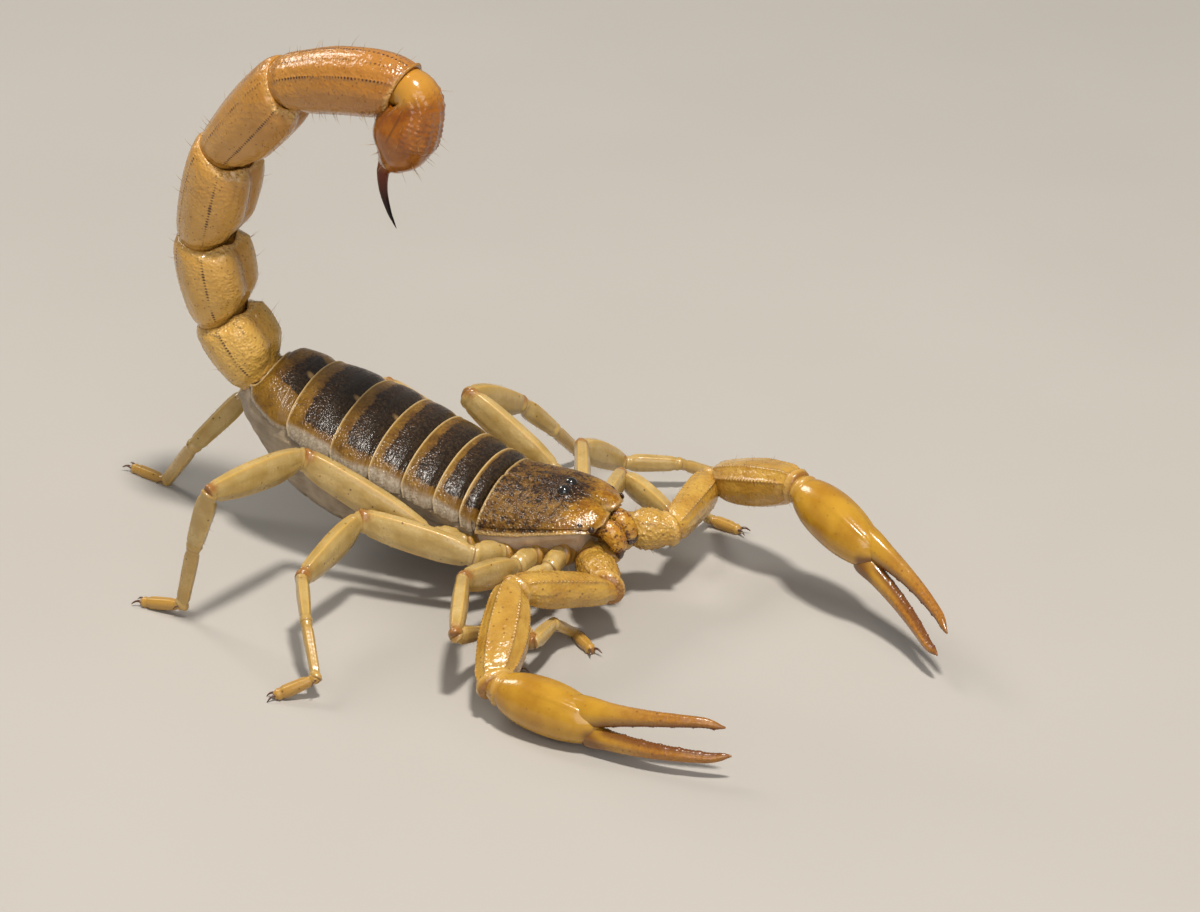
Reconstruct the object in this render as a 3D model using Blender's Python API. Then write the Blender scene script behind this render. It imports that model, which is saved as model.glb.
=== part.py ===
"""A desert scorpion, modelled as a still, life-size museum piece.

The head points along -Y, the animal's left side is +X, and z = 0 is the floor.
Lengths are in millimetres and angles in degrees, until a mesh is made in metres.
A point is first placed in the trunk's own frame, whose origin is the middle of
the carapace's rear edge, and then rolled, pitched and lifted into the pose.
"""

from math import asin, cos, degrees, exp, pi, radians, sin

import bmesh
import bpy
from mathutils import Matrix, Vector

MM = 0.001
GAP = 0.16                       # left between two hard pieces
CENTRE = Vector((0.44, -0.91, 0))  # middle of the animal's outline, brought to the origin

TRUNK_ROLL = -7                  # raises the animal's left side
TRUNK_PITCH = 2                  # lowers the head
TRUNK_HEIGHT = 8.5
FOOT_HEIGHT = 0.3                # axis of a foot's tip above the floor

HEAD_LENGTH = 8.5
BACK_LENGTH = 19.2
BACK_RISE = 5.3
BACK_END_TILT = 35               # lean of the joint between the back and the tail
PLATE = 0.5
WAIST, WAIST_TILT = 0.9, 24      # the leaning cut between the underside of the head and the abdomen
TUBERCLE = (-5.2, 1.1, 0.9, 0.4)  # the eye hill: place along y, half length, half width, height

# Along y: half width, height of the back's line over its own slope, drop to the plate's edge, depth.
TRUNK = (
    (-8.5, 2.5, -0.45, 0.8, 3.0),
    (-7.0, 3.25, 0.0, 1.2, 4.0),
    (-5.2, 3.85, 0.15, 1.6, 4.5),
    (-3.0, 4.3, 0.1, 2.0, 4.8),
    (-0.5, 4.55, 0.0, 2.3, 5.0),
    (2.0, 4.65, 0.0, 2.35, 5.5),
    (5.8, 5.0, 0.0, 2.35, 7.1),
    (10.6, 5.15, 0.0, 2.4, 8.3),
    (15.4, 4.45, -0.15, 2.3, 7.7),
    (17.9, 3.5, -0.05, 2.1, 6.1),
    (19.2, 3.0, 0.0, 1.9, 5.2),
    (22.5, 2.3, 0.0, 1.7, 4.5),
)
PLATE_ENDS = (0.0, 1.1, 3.1, 5.5, 8.0, 11.1, 14.8, 22.0)

EYE_RADIUS = 0.39
EYE_GAP = 0.07
EYE = Vector((0.52, -5.2, 0.52))

CHELICERA_X = 0.82
# Down a jaw: y, z, half width, half depth.
CHELICERA = ((-7.25, -1.75, 0.66, 0.62), (-8.3, -1.75, 0.74, 0.78), (-9.1, -1.95, 0.74, 0.82),
             (-9.9, -2.4, 0.62, 0.7), (-10.35, -3.0, 0.44, 0.44), (-10.4, -3.5, 0.26, 0.26))

TAIL_ROOT = Vector((0, 19.2, 3.3))
TAIL_LENGTHS = (5.0, 6.4, 7.6, 8.4, 9.8)
TAIL_RISES = (56, 82, 105, 129, 166)
TAIL_LEANS = (-2, -1, 0, -2, -5)
TAIL_WIDTHS = (2.6, 2.65, 2.6, 2.35, 2.0)     # half widths
TAIL_DEPTHS = (2.35, 2.5, 2.5, 2.35, 2.2)     # half depths
# Across each tail ring: share of the length, and of the full half width and half depth.
TAIL_SHAPE = ((0.0, 0.84), (0.14, 0.93), (0.5, 1.0), (0.84, 0.97), (1.0, 0.86))
STING_RISE, STING_LEAN = 269, -9
# Down the vesicle and the sting: distance, offset to the outside, half width.
VESICLE_SHAPE = ((-0.3, 0.0, 0.9), (0.4, 0.2, 1.4), (1.4, 0.5, 1.95), (2.7, 0.4, 2.2),
                 (3.9, 0.0, 1.95), (4.9, -0.55, 1.4), (5.6, -1.1, 0.85))
STING_SHAPE = ((5.6, -1.15, 0.66), (6.6, -1.5, 0.45), (7.8, -1.5, 0.32), (9.1, -1.0, 0.27),
               (10.4, -0.3, 0.24))

PALP_ROOT = Vector((2.4, -8.7, -3.0))
PALP_LENGTHS = (3.2, 7.6, 8.7, 7.9, 9.3, 9.7)  # trochanter, femur, patella, palm, fixed and moving finger
# Swing forward from straight out, and rise, of those six lengths.
PALP_ANGLES = {
    "right": ((38, -20), (-34, 13), (18, -21), (84, -4), (98, 12), (94, -2)),
    "left": ((68, -8), (-2, 4), (110, 17), (115, -16), (120, -12), (125, -25)),
}

# Where each leg leaves the trunk, and its trochanter, femur, patella, tibia, basitarsus and tarsus.
LEG_ROOTS = ((2.9, -6.0, -3.3), (3.7, -4.3, -3.5), (4.3, -2.2, -3.6), (4.6, 0.6, -3.5))
LEG_LENGTHS = (
    (1.8, 5.3, 5.4, 3.7, 3.5, 2.6),
    (2.0, 6.6, 6.4, 4.3, 4.1, 2.8),
    (2.5, 8.4, 7.1, 4.7, 4.4, 3.0),
    (2.5, 10.6, 10.3, 5.7, 5.4, 3.3),
)
# Swing and rise of the first five lengths, and the swing of the foot, which is laid on the floor.
LEG_ANGLES = {
    "right": (
        ((2, -14), (-21, -17), (56, 1), (184, -5), (176, -36), 54),
        ((-11, -5), (-8, 14), (23, -7), (184, -24), (182, -43), 60),
        ((-29, 10), (-77, 12), (-7, -14), (33, -12), (39, -31), -59),
        ((-60, 12), (-78, 28), (-9, 7), (-121, -65), (-114, -73), -91),
    ),
    "left": (
        ((-6, -5), (-12, -4), (110, -13), (0, -16), (0, -36), 94),
        ((-19, -5), (-27, 3), (9, -31), (61, -2), (49, -22), 49),
        ((-30, 6), (-92, 34), (11, -25), (20, -43), (7, -43), 68),
        ((-72, 3), (-83, 20), (-115, -5), (-122, -46), (-66, -50), -79),
    ),
}
LEG_DEPTHS = (0.92, 1.0, 1.15, 1.2)           # half depth of the femur of legs 1 to 4
SIDES = {"right": -1, "left": 1}


def direction(swing, rise, side):
    """A way in the posed frame: swing turns forward from straight out, rise turns up."""
    swing, rise = radians(swing), radians(rise)
    return Vector((side * cos(swing) * cos(rise), -sin(swing) * cos(rise), sin(rise)))


TRUNK_TURN = (
    Matrix.Rotation(radians(TRUNK_ROLL), 3, "Y") @ Matrix.Rotation(radians(TRUNK_PITCH), 3, "X")
)


def posed(point):
    """A trunk point in the posed frame."""
    return TRUNK_TURN @ Vector(point) + Vector((0, 0, TRUNK_HEIGHT))


def chain(root, lengths, ways):
    """The joints of a limb, from its root outwards."""
    joints = [root]
    for length, way in zip(lengths, ways):
        joints.append(joints[-1] + length * way)
    return joints


def trunk_at(y):
    """Half width, top, drop to the plate edge and depth of the trunk, eased between its stations."""
    rows = TRUNK
    here = max(0, min(len(rows) - 2, sum(row[0] <= y for row in rows) - 1))
    before, after = rows[here], rows[here + 1]
    span = after[0] - before[0]
    share = max(0.0, min(1.0, (y - before[0]) / span))
    values = []
    for column in range(1, 5):
        slopes = []
        for row in (here, here + 1):
            low, high = rows[max(row - 1, 0)], rows[min(row + 1, len(rows) - 1)]
            slopes.append((high[column] - low[column]) / (high[0] - low[0]) * span)
        start, end = before[column], after[column]
        values.append(
            start
            + slopes[0] * share * (1 - share) ** 2
            + (end - start) * share * share * (3 - 2 * share)
            - slopes[1] * share * share * (1 - share)
        )
    half_width, top, drop, depth = values
    if y > 0:
        top += BACK_RISE * (y / BACK_LENGTH) ** 0.9
    return half_width, top, drop, depth


def material(name, colour, roughness):
    """One Principled material, opaque and not metallic."""
    made = bpy.data.materials.new(name)
    made.use_nodes = True
    made.diffuse_color = (*colour, 1)
    shader = made.node_tree.nodes["Principled BSDF"]
    shader.inputs["Base Color"].default_value = (*colour, 1)
    shader.inputs["Roughness"].default_value = roughness
    shader.inputs["Metallic"].default_value = 0
    return made


SHELL_BROWN = (0.13, 0.07, 0.025)
SHELL_AMBER = (0.52, 0.26, 0.06)
LIMB_HONEY = (0.62, 0.4, 0.14)
STING_BROWN = (0.09, 0.025, 0.012)
EYE_BLACK = (0.008, 0.007, 0.007)
MEMBRANE = (0.5, 0.44, 0.34)


def loft(rings, cuts=()):
    """A closed mesh through rings of posed points, cut back to the inner side of each (point, normal)."""
    mesh = bmesh.new()
    rows = [[mesh.verts.new(point) for point in ring] for ring in rings]
    for low, high in zip(rows, rows[1:]):
        for here in range(len(low)):
            there = (here + 1) % len(low)
            mesh.faces.new((low[here], low[there], high[there], high[here]))
    mesh.faces.new(rows[0][::-1])
    mesh.faces.new(rows[-1])
    for point, normal in cuts:
        everything = mesh.verts[:] + mesh.edges[:] + mesh.faces[:]
        cut = bmesh.ops.bisect_plane(
            mesh, geom=everything, dist=1e-5, plane_co=point, plane_no=normal, clear_outer=True
        )
        edges = [piece for piece in cut["geom_cut"] if isinstance(piece, bmesh.types.BMEdge)]
        bmesh.ops.holes_fill(mesh, edges=edges, sides=0)
    bmesh.ops.remove_doubles(mesh, verts=mesh.verts[:], dist=0.002)
    bmesh.ops.dissolve_degenerate(mesh, edges=mesh.edges[:], dist=0.001)
    bmesh.ops.recalc_face_normals(mesh, faces=mesh.faces[:])
    return mesh


def add(mesh, name, colour, roughness=0.35, cutter=False):
    """Turns a bmesh in millimetres into an object of the scorpion, or into a hidden cutter."""
    bmesh.ops.scale(mesh, vec=(MM, MM, MM), verts=mesh.verts[:])
    data = bpy.data.meshes.new(name)
    mesh.to_mesh(data)
    mesh.free()
    made = bpy.data.objects.new(name, data)
    made.parent = stand_point
    if cutter:
        made.hide_render = True
        made.display_type = "WIRE"
        cutters.objects.link(made)
        return made
    data.shade_smooth()
    data.set_sharp_from_angle(angle=radians(40))
    data.materials.append(material(name, colour, roughness))
    scorpion.objects.link(made)
    return made


def cut(target, cutter):
    """Takes a cutter's shape out of a piece."""
    made = target.modifiers.new(cutter.name, "BOOLEAN")
    made.operation = "DIFFERENCE"
    made.solver = "EXACT"
    made.object = cutter


def hoop(centre, way, up, half_width, half_depth, points, squareness=1.0):
    """A ring round a centre, square to a way: half_width sideways and half_depth along up."""
    side = way.cross(up).normalized()
    over = side.cross(way).normalized()
    ring = []
    for step in range(points):
        turn = 2 * pi * (step + 0.5) / points
        across, along = cos(turn), sin(turn)
        across = abs(across) ** squareness * (1 if across > 0 else -1)
        along = abs(along) ** squareness * (1 if along > 0 else -1)
        ring.append(centre + side * (half_width * across) + over * (half_depth * along))
    return ring


def bisector(before, joint, after):
    """The way that halves the bend at a joint."""
    return ((joint - before).normalized() + (after - joint).normalized()).normalized()


def limb_rings(joints, shapes, points, grow=0.0, round_ends=(True, True)):
    """Rings along a bent limb piece, one shape of (share, half width, half depth) for each length.

    The width lies level and the depth upright. Both ends run on into a rounded
    knob, which the joint's plane then cuts.
    """
    rings = []
    count = len(shapes)
    for here in range(count):
        start, end = joints[here], joints[here + 1]
        way, length = (end - start).normalized(), (end - start).length
        up = Vector((0, 0, 1)) if abs(way.z) < 0.9 else Vector((0, 1, 0))
        rows = [(share * length, wide, deep) for share, wide, deep in shapes[here]]
        first, last = rows[0], rows[-1]
        if here == 0 and round_ends[0]:
            rows = [(-0.62 * first[1], first[1] * 0.6, first[2] * 0.6)] + rows
        if here == count - 1 and round_ends[1]:
            rows = rows + [(length + 0.62 * last[1], last[1] * 0.6, last[2] * 0.6)]
        for distance, wide, deep in rows:
            turned = way
            if count > 1 and here < count - 1 and distance >= length:
                turned = bisector(start, end, joints[here + 2])
            rings.append(hoop(start + way * distance, turned, up, wide + grow, deep + grow, points))
    return rings


def planes(before, joints, after, gap=GAP):
    """Where a limb piece is cut, at the joints it shares with the pieces before and after it."""
    found = []
    if before is not None:
        normal = bisector(before, joints[0], joints[1])
        found.append((joints[0] + normal * gap / 2, -normal))
    if after is not None:
        normal = bisector(joints[-2], joints[-1], after)
        found.append((joints[-1] - normal * gap / 2, normal))
    return found


# Back plates

ARCH = [pi / 2 * (step / 7 - 1) for step in range(15)]


def arch_point(y, half_width, top, drop, turn, hill_share=1.0):
    """A point of a half ellipse over the trunk, raised where the eyes sit."""
    place, half_length, half_hill, height = TUBERCLE
    x = half_width * sin(turn)
    hill = hill_share * height * exp(-(((y - place) / half_length) ** 2) - (x / half_hill) ** 2)
    return posed((x, y, top - drop + drop * cos(turn) + hill))


def plate(name, ends, rows, colour, cuts=()):
    """A curved back plate: an outer and an inner half ellipse, closed along its lower edges."""
    rings = []
    for row in range(rows + 1):
        y = ends[0] + (ends[1] - ends[0]) * row / rows
        half_width, top, drop, _ = trunk_at(y)
        outer = [arch_point(y, half_width, top, drop, turn) for turn in ARCH]
        inside = half_width - PLATE, top - PLATE, drop - PLATE
        inner = [arch_point(y, *inside, turn) for turn in ARCH[::-1]]
        rings.append(outer + inner)
    return add(loft(rings, cuts), name, colour)


def core_ring(y, flank, belly):
    """A ring of the body: its roof follows the plates, and its sides bulge out below their edges."""
    half_width, top, drop, depth = trunk_at(y)
    under = PLATE + 2 * GAP
    inside = half_width - under, top - under, drop - under
    roof = [arch_point(y, *inside, turn, 0) for turn in ARCH[::-2]]
    edge, floor = top - drop, top - depth
    side = [
        (half_width - 0.2, edge - 2 * GAP),
        (flank, edge - 1.1),
        (0.86 * flank, floor + 0.5),
        (belly, floor),
    ]
    right = [posed((-x, y, z)) for x, z in side]
    left = [posed((x, y, z)) for x, z in side[::-1]]
    return roof + right + [posed((0, y, floor))] + left


def back_end():
    """The leaning plane between the back and the tail."""
    lean = radians(BACK_END_TILT)
    normal = TRUNK_TURN @ Vector((0, cos(lean), sin(lean)))
    return posed(TAIL_ROOT), normal


def build_back():
    """The carapace with its two eyes, and the seven back plates."""
    carapace = plate("carapace", (-HEAD_LENGTH, -GAP / 2), 12, SHELL_AMBER)
    for name, side in SIDES.items():
        centre = posed((side * EYE.x, EYE.y, EYE.z))
        for title, room in ((f"eye_{name}", 0), (f"socket_{name}", EYE_GAP)):
            ball = bmesh.new()
            radius = EYE_RADIUS + room
            bmesh.ops.create_uvsphere(ball, u_segments=12, v_segments=8, radius=radius)
            bmesh.ops.translate(ball, vec=centre, verts=ball.verts[:])
            made = add(ball, title, EYE_BLACK, 0.08, cutter=room > 0)
        cut(carapace, made)
    point, normal = back_end()
    for number, (front, rear) in enumerate(zip(PLATE_ENDS, PLATE_ENDS[1:]), start=1):
        last = number == len(PLATE_ENDS) - 1
        cuts = [(point - normal * GAP / 2, normal)] if last else []
        rows = 5 if last else 2
        ends = (front + GAP / 2, rear - GAP / 2)
        plate(f"tergite_{number}", ends, rows, SHELL_BROWN, cuts)


def build_core():
    """The soft abdomen, and the underside of the head with the leg bases."""
    point, normal = back_end()
    lean = radians(WAIST_TILT)
    waist, back = posed((0, WAIST, 0)), TRUNK_TURN @ Vector((0, cos(lean), -sin(lean)))
    belly_rows = (-0.6, 1.0, 3.0, 5.8, 8.5, 11.5, 14.5, 16.8, 18.4, 20.0, 22.0)
    rings = []
    for y in belly_rows:
        half_width = trunk_at(y)[0]
        rings.append(core_ring(y, half_width - 0.05, 0.5 * half_width))
    cuts = [(point - normal * GAP / 2, normal), (waist + back * GAP / 2, -back)]
    abdomen = add(loft(rings, cuts), "abdomen", MEMBRANE, 0.45)
    rings = []
    for y, flank in ((-7.4, 2.4), (-6.0, 2.9), (-4.3, 3.6), (-2.2, 4.2), (0.6, 4.5), (3.2, 4.5)):
        rings.append(core_ring(y, flank, 0.62 * flank))
    underside = loft(rings, [(waist - back * GAP / 2, back)])
    underside = add(underside, "underside", LIMB_HONEY, 0.4)
    return abdomen, underside


def build_chelicerae(underside):
    """The two small jaws in front of the carapace, and their room in the underside."""
    for name, side in SIDES.items():
        middles = [Vector((side * CHELICERA_X, y, z)) for y, z, _, _ in CHELICERA]
        for title, grow in ((f"chelicera_{name}", 0), (f"room_{name}", GAP)):
            rings = []
            for here, (_, _, wide, deep) in enumerate(CHELICERA):
                after, before = min(here + 1, len(CHELICERA) - 1), max(here - 1, 0)
                way = (middles[after] - middles[before]).normalized()
                ring = hoop(middles[here], way, Vector((0, -0.3, 1)), wide + grow, deep + grow, 10)
                rings.append([posed(point) for point in ring])
            made = add(loft(rings), title, LIMB_HONEY, cutter=grow > 0)
        cut(underside, made)


def build_pectines():
    """The two combs behind the last pair of legs."""
    for name, side in SIDES.items():
        inner, outer = Vector((side * 0.55, 3.4, -5.45)), Vector((side * 4.4, 6.8, -5.45))
        way = (outer - inner).normalized()
        rings = []
        for share, wide in ((0.0, 0.55), (0.3, 0.8), (0.75, 0.75), (1.0, 0.4)):
            ring = hoop(inner.lerp(outer, share), way, Vector((0, 0, 1)), wide, 0.27, 6)
            rings.append([posed(point) for point in ring])
        add(loft(rings), f"pectine_{name}", LIMB_HONEY, 0.45)


# Tail

def tail_way(rise, lean):
    """A way in the tail's arc, seen in the trunk's frame: rise turns up from straight back."""
    rise, lean = radians(rise), radians(lean)
    return TRUNK_TURN @ Vector((sin(lean), cos(rise) * cos(lean), sin(rise) * cos(lean)))


def tail_joints():
    """Root and joints of the tail, out to the root of the vesicle."""
    ways = [tail_way(rise, lean) for rise, lean in zip(TAIL_RISES, TAIL_LEANS)]
    return chain(posed(TAIL_ROOT), TAIL_LENGTHS, ways)


def build_tail():
    """Five tail segments, the vesicle and the sting."""
    joints = tail_joints()
    across = TRUNK_TURN @ Vector((1, 0, 0))
    sting_way = tail_way(STING_RISE, STING_LEAN)
    for here, length in enumerate(TAIL_LENGTHS):
        start, end = joints[here], joints[here + 1]
        way = (end - start).normalized()
        up = across.cross(way)
        rows = [(share * length, size) for share, size in TAIL_SHAPE]
        reach = 0.5 * TAIL_DEPTHS[here]
        rows = [(-reach, 0.62)] + rows + [(length + reach, 0.62)]
        rings = []
        for distance, size in rows:
            wide, deep = TAIL_WIDTHS[here] * size, TAIL_DEPTHS[here] * size
            rings.append(hoop(start + way * distance, way, up, wide, deep, 16, 0.86))
        if here == 0:
            point, normal = back_end()
            cuts = [(point + normal * GAP / 2, -normal)]
        else:
            cuts = planes(joints[here - 1], [start, end], None)
        onward = joints[here + 2] if here < len(TAIL_LENGTHS) - 1 else end + sting_way
        cuts += planes(None, [start, end], onward)
        add(loft(rings, cuts), f"tail_{here + 1}", SHELL_AMBER)
    root = joints[-1]
    outward = across.cross(sting_way)
    neck = planes(joints[-2], [root, root + sting_way], None)
    for title, shape, colour, cuts in (
        ("vesicle", VESICLE_SHAPE, SHELL_AMBER, neck),
        ("sting", STING_SHAPE, STING_BROWN, ()),
    ):
        middles = [root + sting_way * along - outward * out for along, out, _ in shape]
        rings = []
        for here, (_, _, wide) in enumerate(shape):
            way = (middles[min(here + 1, len(shape) - 1)] - middles[max(here - 1, 0)]).normalized()
            points = 14 if title == "vesicle" else 8
            rings.append(hoop(middles[here], way, across.cross(way), wide, wide, points))
        if title == "vesicle":
            point, normal = middles[-1], (middles[-1] - middles[-2]).normalized()
            cuts = [*cuts, (point - normal * GAP, normal)]
        add(loft(rings, cuts), title, colour)


# Pedipalps

# Along the palm: share of its length, half width, half depth, shift towards the fixed finger.
PALM_SHAPE = ((-0.06, 0.7, 0.7, 0.0), (0.06, 1.15, 1.15, 0.0), (0.3, 1.7, 1.7, 0.0),
              (0.6, 1.75, 1.75, 0.0), (0.86, 1.35, 1.3, 0.1), (1.0, 0.9, 0.85, 0.35))
# Along a finger: share of its length and half depth. The moving finger starts with its heel.
FINGER_HEEL = ((-0.03, 0.35), (0.04, 0.62))
FINGER_SHAPE = ((0.2, 0.66), (0.5, 0.54), (0.8, 0.42), (0.94, 0.33), (1.0, 0.27))
FIXED_FINGER_RISE, MOVING_FINGER_DROP = 0.45, 1.05
FINGER_BOW, FINGER_LIFT = 0.8, 0.1  # how far both curve to the outside, and away from each other
PALP_SHAPES = (
    ((0.0, 1.05, 1.15), (0.5, 1.3, 1.4), (1.0, 1.15, 1.2)),
    ((0.0, 1.0, 1.05), (0.25, 1.2, 1.25), (0.7, 1.3, 1.3), (1.0, 1.1, 1.15)),
    ((0.0, 0.95, 1.05), (0.2, 1.5, 1.45), (0.55, 1.85, 1.75), (0.85, 1.55, 1.5), (1.0, 1.1, 1.1)),
)


def palp_joints(name):
    """Root and joints of a pedipalp up to the finger hinge, and the two finger tips."""
    side = SIDES[name]
    root = posed((side * PALP_ROOT.x, PALP_ROOT.y, PALP_ROOT.z))
    ways = [direction(swing, rise, side) for swing, rise in PALP_ANGLES[name]]
    joints = chain(root, PALP_LENGTHS[:4], ways[:4])
    tips = [joints[-1] + length * way for length, way in zip(PALP_LENGTHS[4:], ways[4:])]
    return joints, tips


def build_pedipalps():
    """Both pedipalps: trochanter, femur, patella, hand with its fixed finger, and moving finger."""
    for name in SIDES:
        joints, (fixed, moving) = palp_joints(name)
        before = [joints[0] * 2 - joints[1], *joints]
        for here, title in enumerate(("trochanter", "femur", "patella")):
            ends = joints[here:here + 2]
            cuts = planes(before[here], ends, joints[here + 2])
            rings = limb_rings(ends, [PALP_SHAPES[here]], 12)
            add(loft(rings, cuts), f"palp_{title}_{name}", SHELL_AMBER)
        build_hand(name, joints, fixed, moving)


def build_hand(name, joints, fixed, moving):
    """The swollen palm that runs on into the fixed finger, and the finger hinged below it."""
    wrist, hinge = joints[-2:]
    way = (hinge - wrist).normalized()
    spread = fixed - moving
    spread = (spread - way * spread.dot(way)).normalized()
    length = (hinge - wrist).length
    rings = []
    for share, wide, deep, shift in PALM_SHAPE:
        middle = wrist + way * (share * length) + spread * shift
        rings.append(hoop(middle, way, spread, wide, deep, 12))
    outward = way.cross(spread)
    if outward.x * SIDES[name] < 0:
        outward = -outward
    for title, start, tip, lift in (
        ("hand", hinge + spread * FIXED_FINGER_RISE, fixed, FINGER_LIFT),
        ("finger", hinge - spread * MOVING_FINGER_DROP, moving, -FINGER_LIFT),
    ):
        onward = tip - start
        finger = []
        for share, size in FINGER_SHAPE if title == "hand" else (*FINGER_HEEL, *FINGER_SHAPE):
            bow = (outward * FINGER_BOW + spread * lift) * sin(pi * share)
            middle = start + onward * share + bow
            finger.append(hoop(middle, onward.normalized(), spread, size * 0.9, size, 12))
        if title == "hand":
            mesh = loft(rings + finger, planes(joints[-3], [wrist, hinge], None))
        else:
            mesh = loft(finger)
        add(mesh, f"palp_{title}_{name}", SHELL_AMBER)


# Legs

def leg_joints(name, number):
    """The seven joints of a leg, from its root to the tip of its foot."""
    side = SIDES[name]
    x, y, z = LEG_ROOTS[number]
    *ways, foot_swing = LEG_ANGLES[name][number]
    lengths = LEG_LENGTHS[number]
    ways = [direction(swing, rise, side) for swing, rise in ways]
    joints = chain(posed((side * x, y, z)), lengths[:5], ways)
    drop = degrees(asin((joints[-1].z - FOOT_HEIGHT) / lengths[5]))
    return joints + [joints[-1] + lengths[5] * direction(foot_swing, -drop, side)]


def leg_shapes(deep):
    """Shares, half widths and half depths along the six lengths of a leg."""
    return (
        ((0.0, 0.7, 0.75 * deep), (0.6, 0.75, 0.85 * deep), (1.0, 0.68, 0.8 * deep)),
        ((0.3, 0.62, deep), (0.75, 0.6, 0.95 * deep), (1.0, 0.55, 0.72 * deep)),
        ((0.0, 0.5, 0.68 * deep), (0.3, 0.6, 0.98 * deep), (0.75, 0.58, 0.86 * deep),
         (1.0, 0.5, 0.6 * deep)),
        ((0.0, 0.46, 0.5 * deep), (0.3, 0.52, 0.58 * deep), (1.0, 0.46, 0.48 * deep)),
        ((0.15, 0.42, 0.42 * deep), (0.8, 0.42, 0.4 * deep), (1.0, 0.44, 0.4 * deep)),
        ((0.26, 0.42, 0.42), (0.6, 0.48, 0.44), (0.92, 0.42, 0.44), (1.0, 0.32, 0.38)),
    )


def build_legs(underside, abdomen):
    """Eight legs, each a femur with its trochanter, a patella, and a lower leg with its foot."""
    ground = (Vector((0, 0, 0)), Vector((0, 0, -1)))
    for name in SIDES:
        for number in range(4):
            joints = leg_joints(name, number)
            shapes = leg_shapes(LEG_DEPTHS[number])
            for title, first, last in (("femur", 0, 2), ("patella", 2, 3), ("foot", 3, 6)):
                ends = joints[first:last + 1]
                before = joints[first - 1] if first else None
                after = joints[last + 1] if last < 6 else None
                cuts = planes(before, ends, after)
                if title == "foot":
                    cuts.append(ground)
                round_ends = (True, last < 6)
                rings = limb_rings(ends, shapes[first:last], 8, round_ends=round_ends)
                add(loft(rings, cuts), f"leg_{name}_{number + 1}_{title}", LIMB_HONEY)
            rings = limb_rings(joints[:3], shapes[:2], 8, GAP)
            room = add(loft(rings), f"leg_room_{name}_{number + 1}", LIMB_HONEY, cutter=True)
            cut(abdomen if number == 3 else underside, room)


for startup in list(bpy.data.objects):
    bpy.data.objects.remove(startup)

scorpion = bpy.data.collections.new("desert_scorpion")
cutters = bpy.data.collections.new("cutters")
for collection in (scorpion, cutters):
    bpy.context.scene.collection.children.link(collection)
stand_point = bpy.data.objects.new("stand_point", None)
stand_point.location = -CENTRE * MM
scorpion.objects.link(stand_point)

build_back()
abdomen, underside = build_core()
build_chelicerae(underside)
build_pectines()
build_tail()
build_pedipalps()
build_legs(underside, abdomen)
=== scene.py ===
from math import radians

import bpy
import numpy as np
from mathutils import Matrix, Vector


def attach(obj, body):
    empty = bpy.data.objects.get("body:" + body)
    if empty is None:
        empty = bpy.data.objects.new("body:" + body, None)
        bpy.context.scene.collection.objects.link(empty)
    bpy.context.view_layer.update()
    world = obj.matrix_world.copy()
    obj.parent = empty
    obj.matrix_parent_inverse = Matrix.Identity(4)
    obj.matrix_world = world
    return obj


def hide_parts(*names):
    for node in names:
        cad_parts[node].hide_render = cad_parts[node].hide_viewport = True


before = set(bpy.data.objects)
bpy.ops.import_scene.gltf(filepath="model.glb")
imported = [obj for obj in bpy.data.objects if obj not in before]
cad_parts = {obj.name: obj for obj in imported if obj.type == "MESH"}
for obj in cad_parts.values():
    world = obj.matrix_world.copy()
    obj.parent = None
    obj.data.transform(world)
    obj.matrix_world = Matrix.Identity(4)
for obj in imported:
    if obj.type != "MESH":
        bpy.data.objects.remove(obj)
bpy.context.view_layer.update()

# Carapace: the hard shield over the head and the leg-bearing rings, one arched
# plate of tanned chitin. It is finely granular, notched in front, rimmed along
# its sides, and swells into a dark hill that carries the middle pair of eyes.

MM = 0.001
CENTRE = np.array((0.44, -0.91, 0.0))      # middle of the animal's outline, brought to the origin
TRUNK_HEIGHT = 8.5
TRUNK_TURN = np.array(Matrix.Rotation(radians(-7), 3, "Y") @ Matrix.Rotation(radians(2), 3, "X"))
TRUNK_UP = TRUNK_TURN @ (0, 0, 1.0)
SIDES = {"right": -1, "left": 1}

HEAD_LENGTH = 8.5
BACK_LENGTH = 19.2
BACK_RISE = 5.3
PLATE_ROOM = 0.5                           # depth of the back that the plates take up
EYE_HILL = (-5.2, 1.1, 0.9, 0.4)           # place along y, half length, half width, height
# Along y: half width, height of the back's line over its own slope, drop to the plate's edge, depth.
TRUNK = (
    (-8.5, 2.5, -0.45, 0.8, 3.0),
    (-7.0, 3.25, 0.0, 1.2, 4.0),
    (-5.2, 3.85, 0.15, 1.6, 4.5),
    (-3.0, 4.3, 0.1, 2.0, 4.8),
    (-0.5, 4.55, 0.0, 2.3, 5.0),
    (2.0, 4.65, 0.0, 2.35, 5.5),
    (5.8, 5.0, 0.0, 2.35, 7.1),
    (10.6, 5.15, 0.0, 2.4, 8.3),
    (15.4, 4.45, -0.15, 2.3, 7.7),
    (17.9, 3.5, -0.05, 2.1, 6.1),
    (19.2, 3.0, 0.0, 1.9, 5.2),
    (22.5, 2.3, 0.0, 1.7, 4.5),
)


def posed(points):
    """Points of the trunk's own frame, rolled, pitched and lifted into the pose."""
    return np.asarray(points, float) @ TRUNK_TURN.T + (0, 0, TRUNK_HEIGHT)


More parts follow.
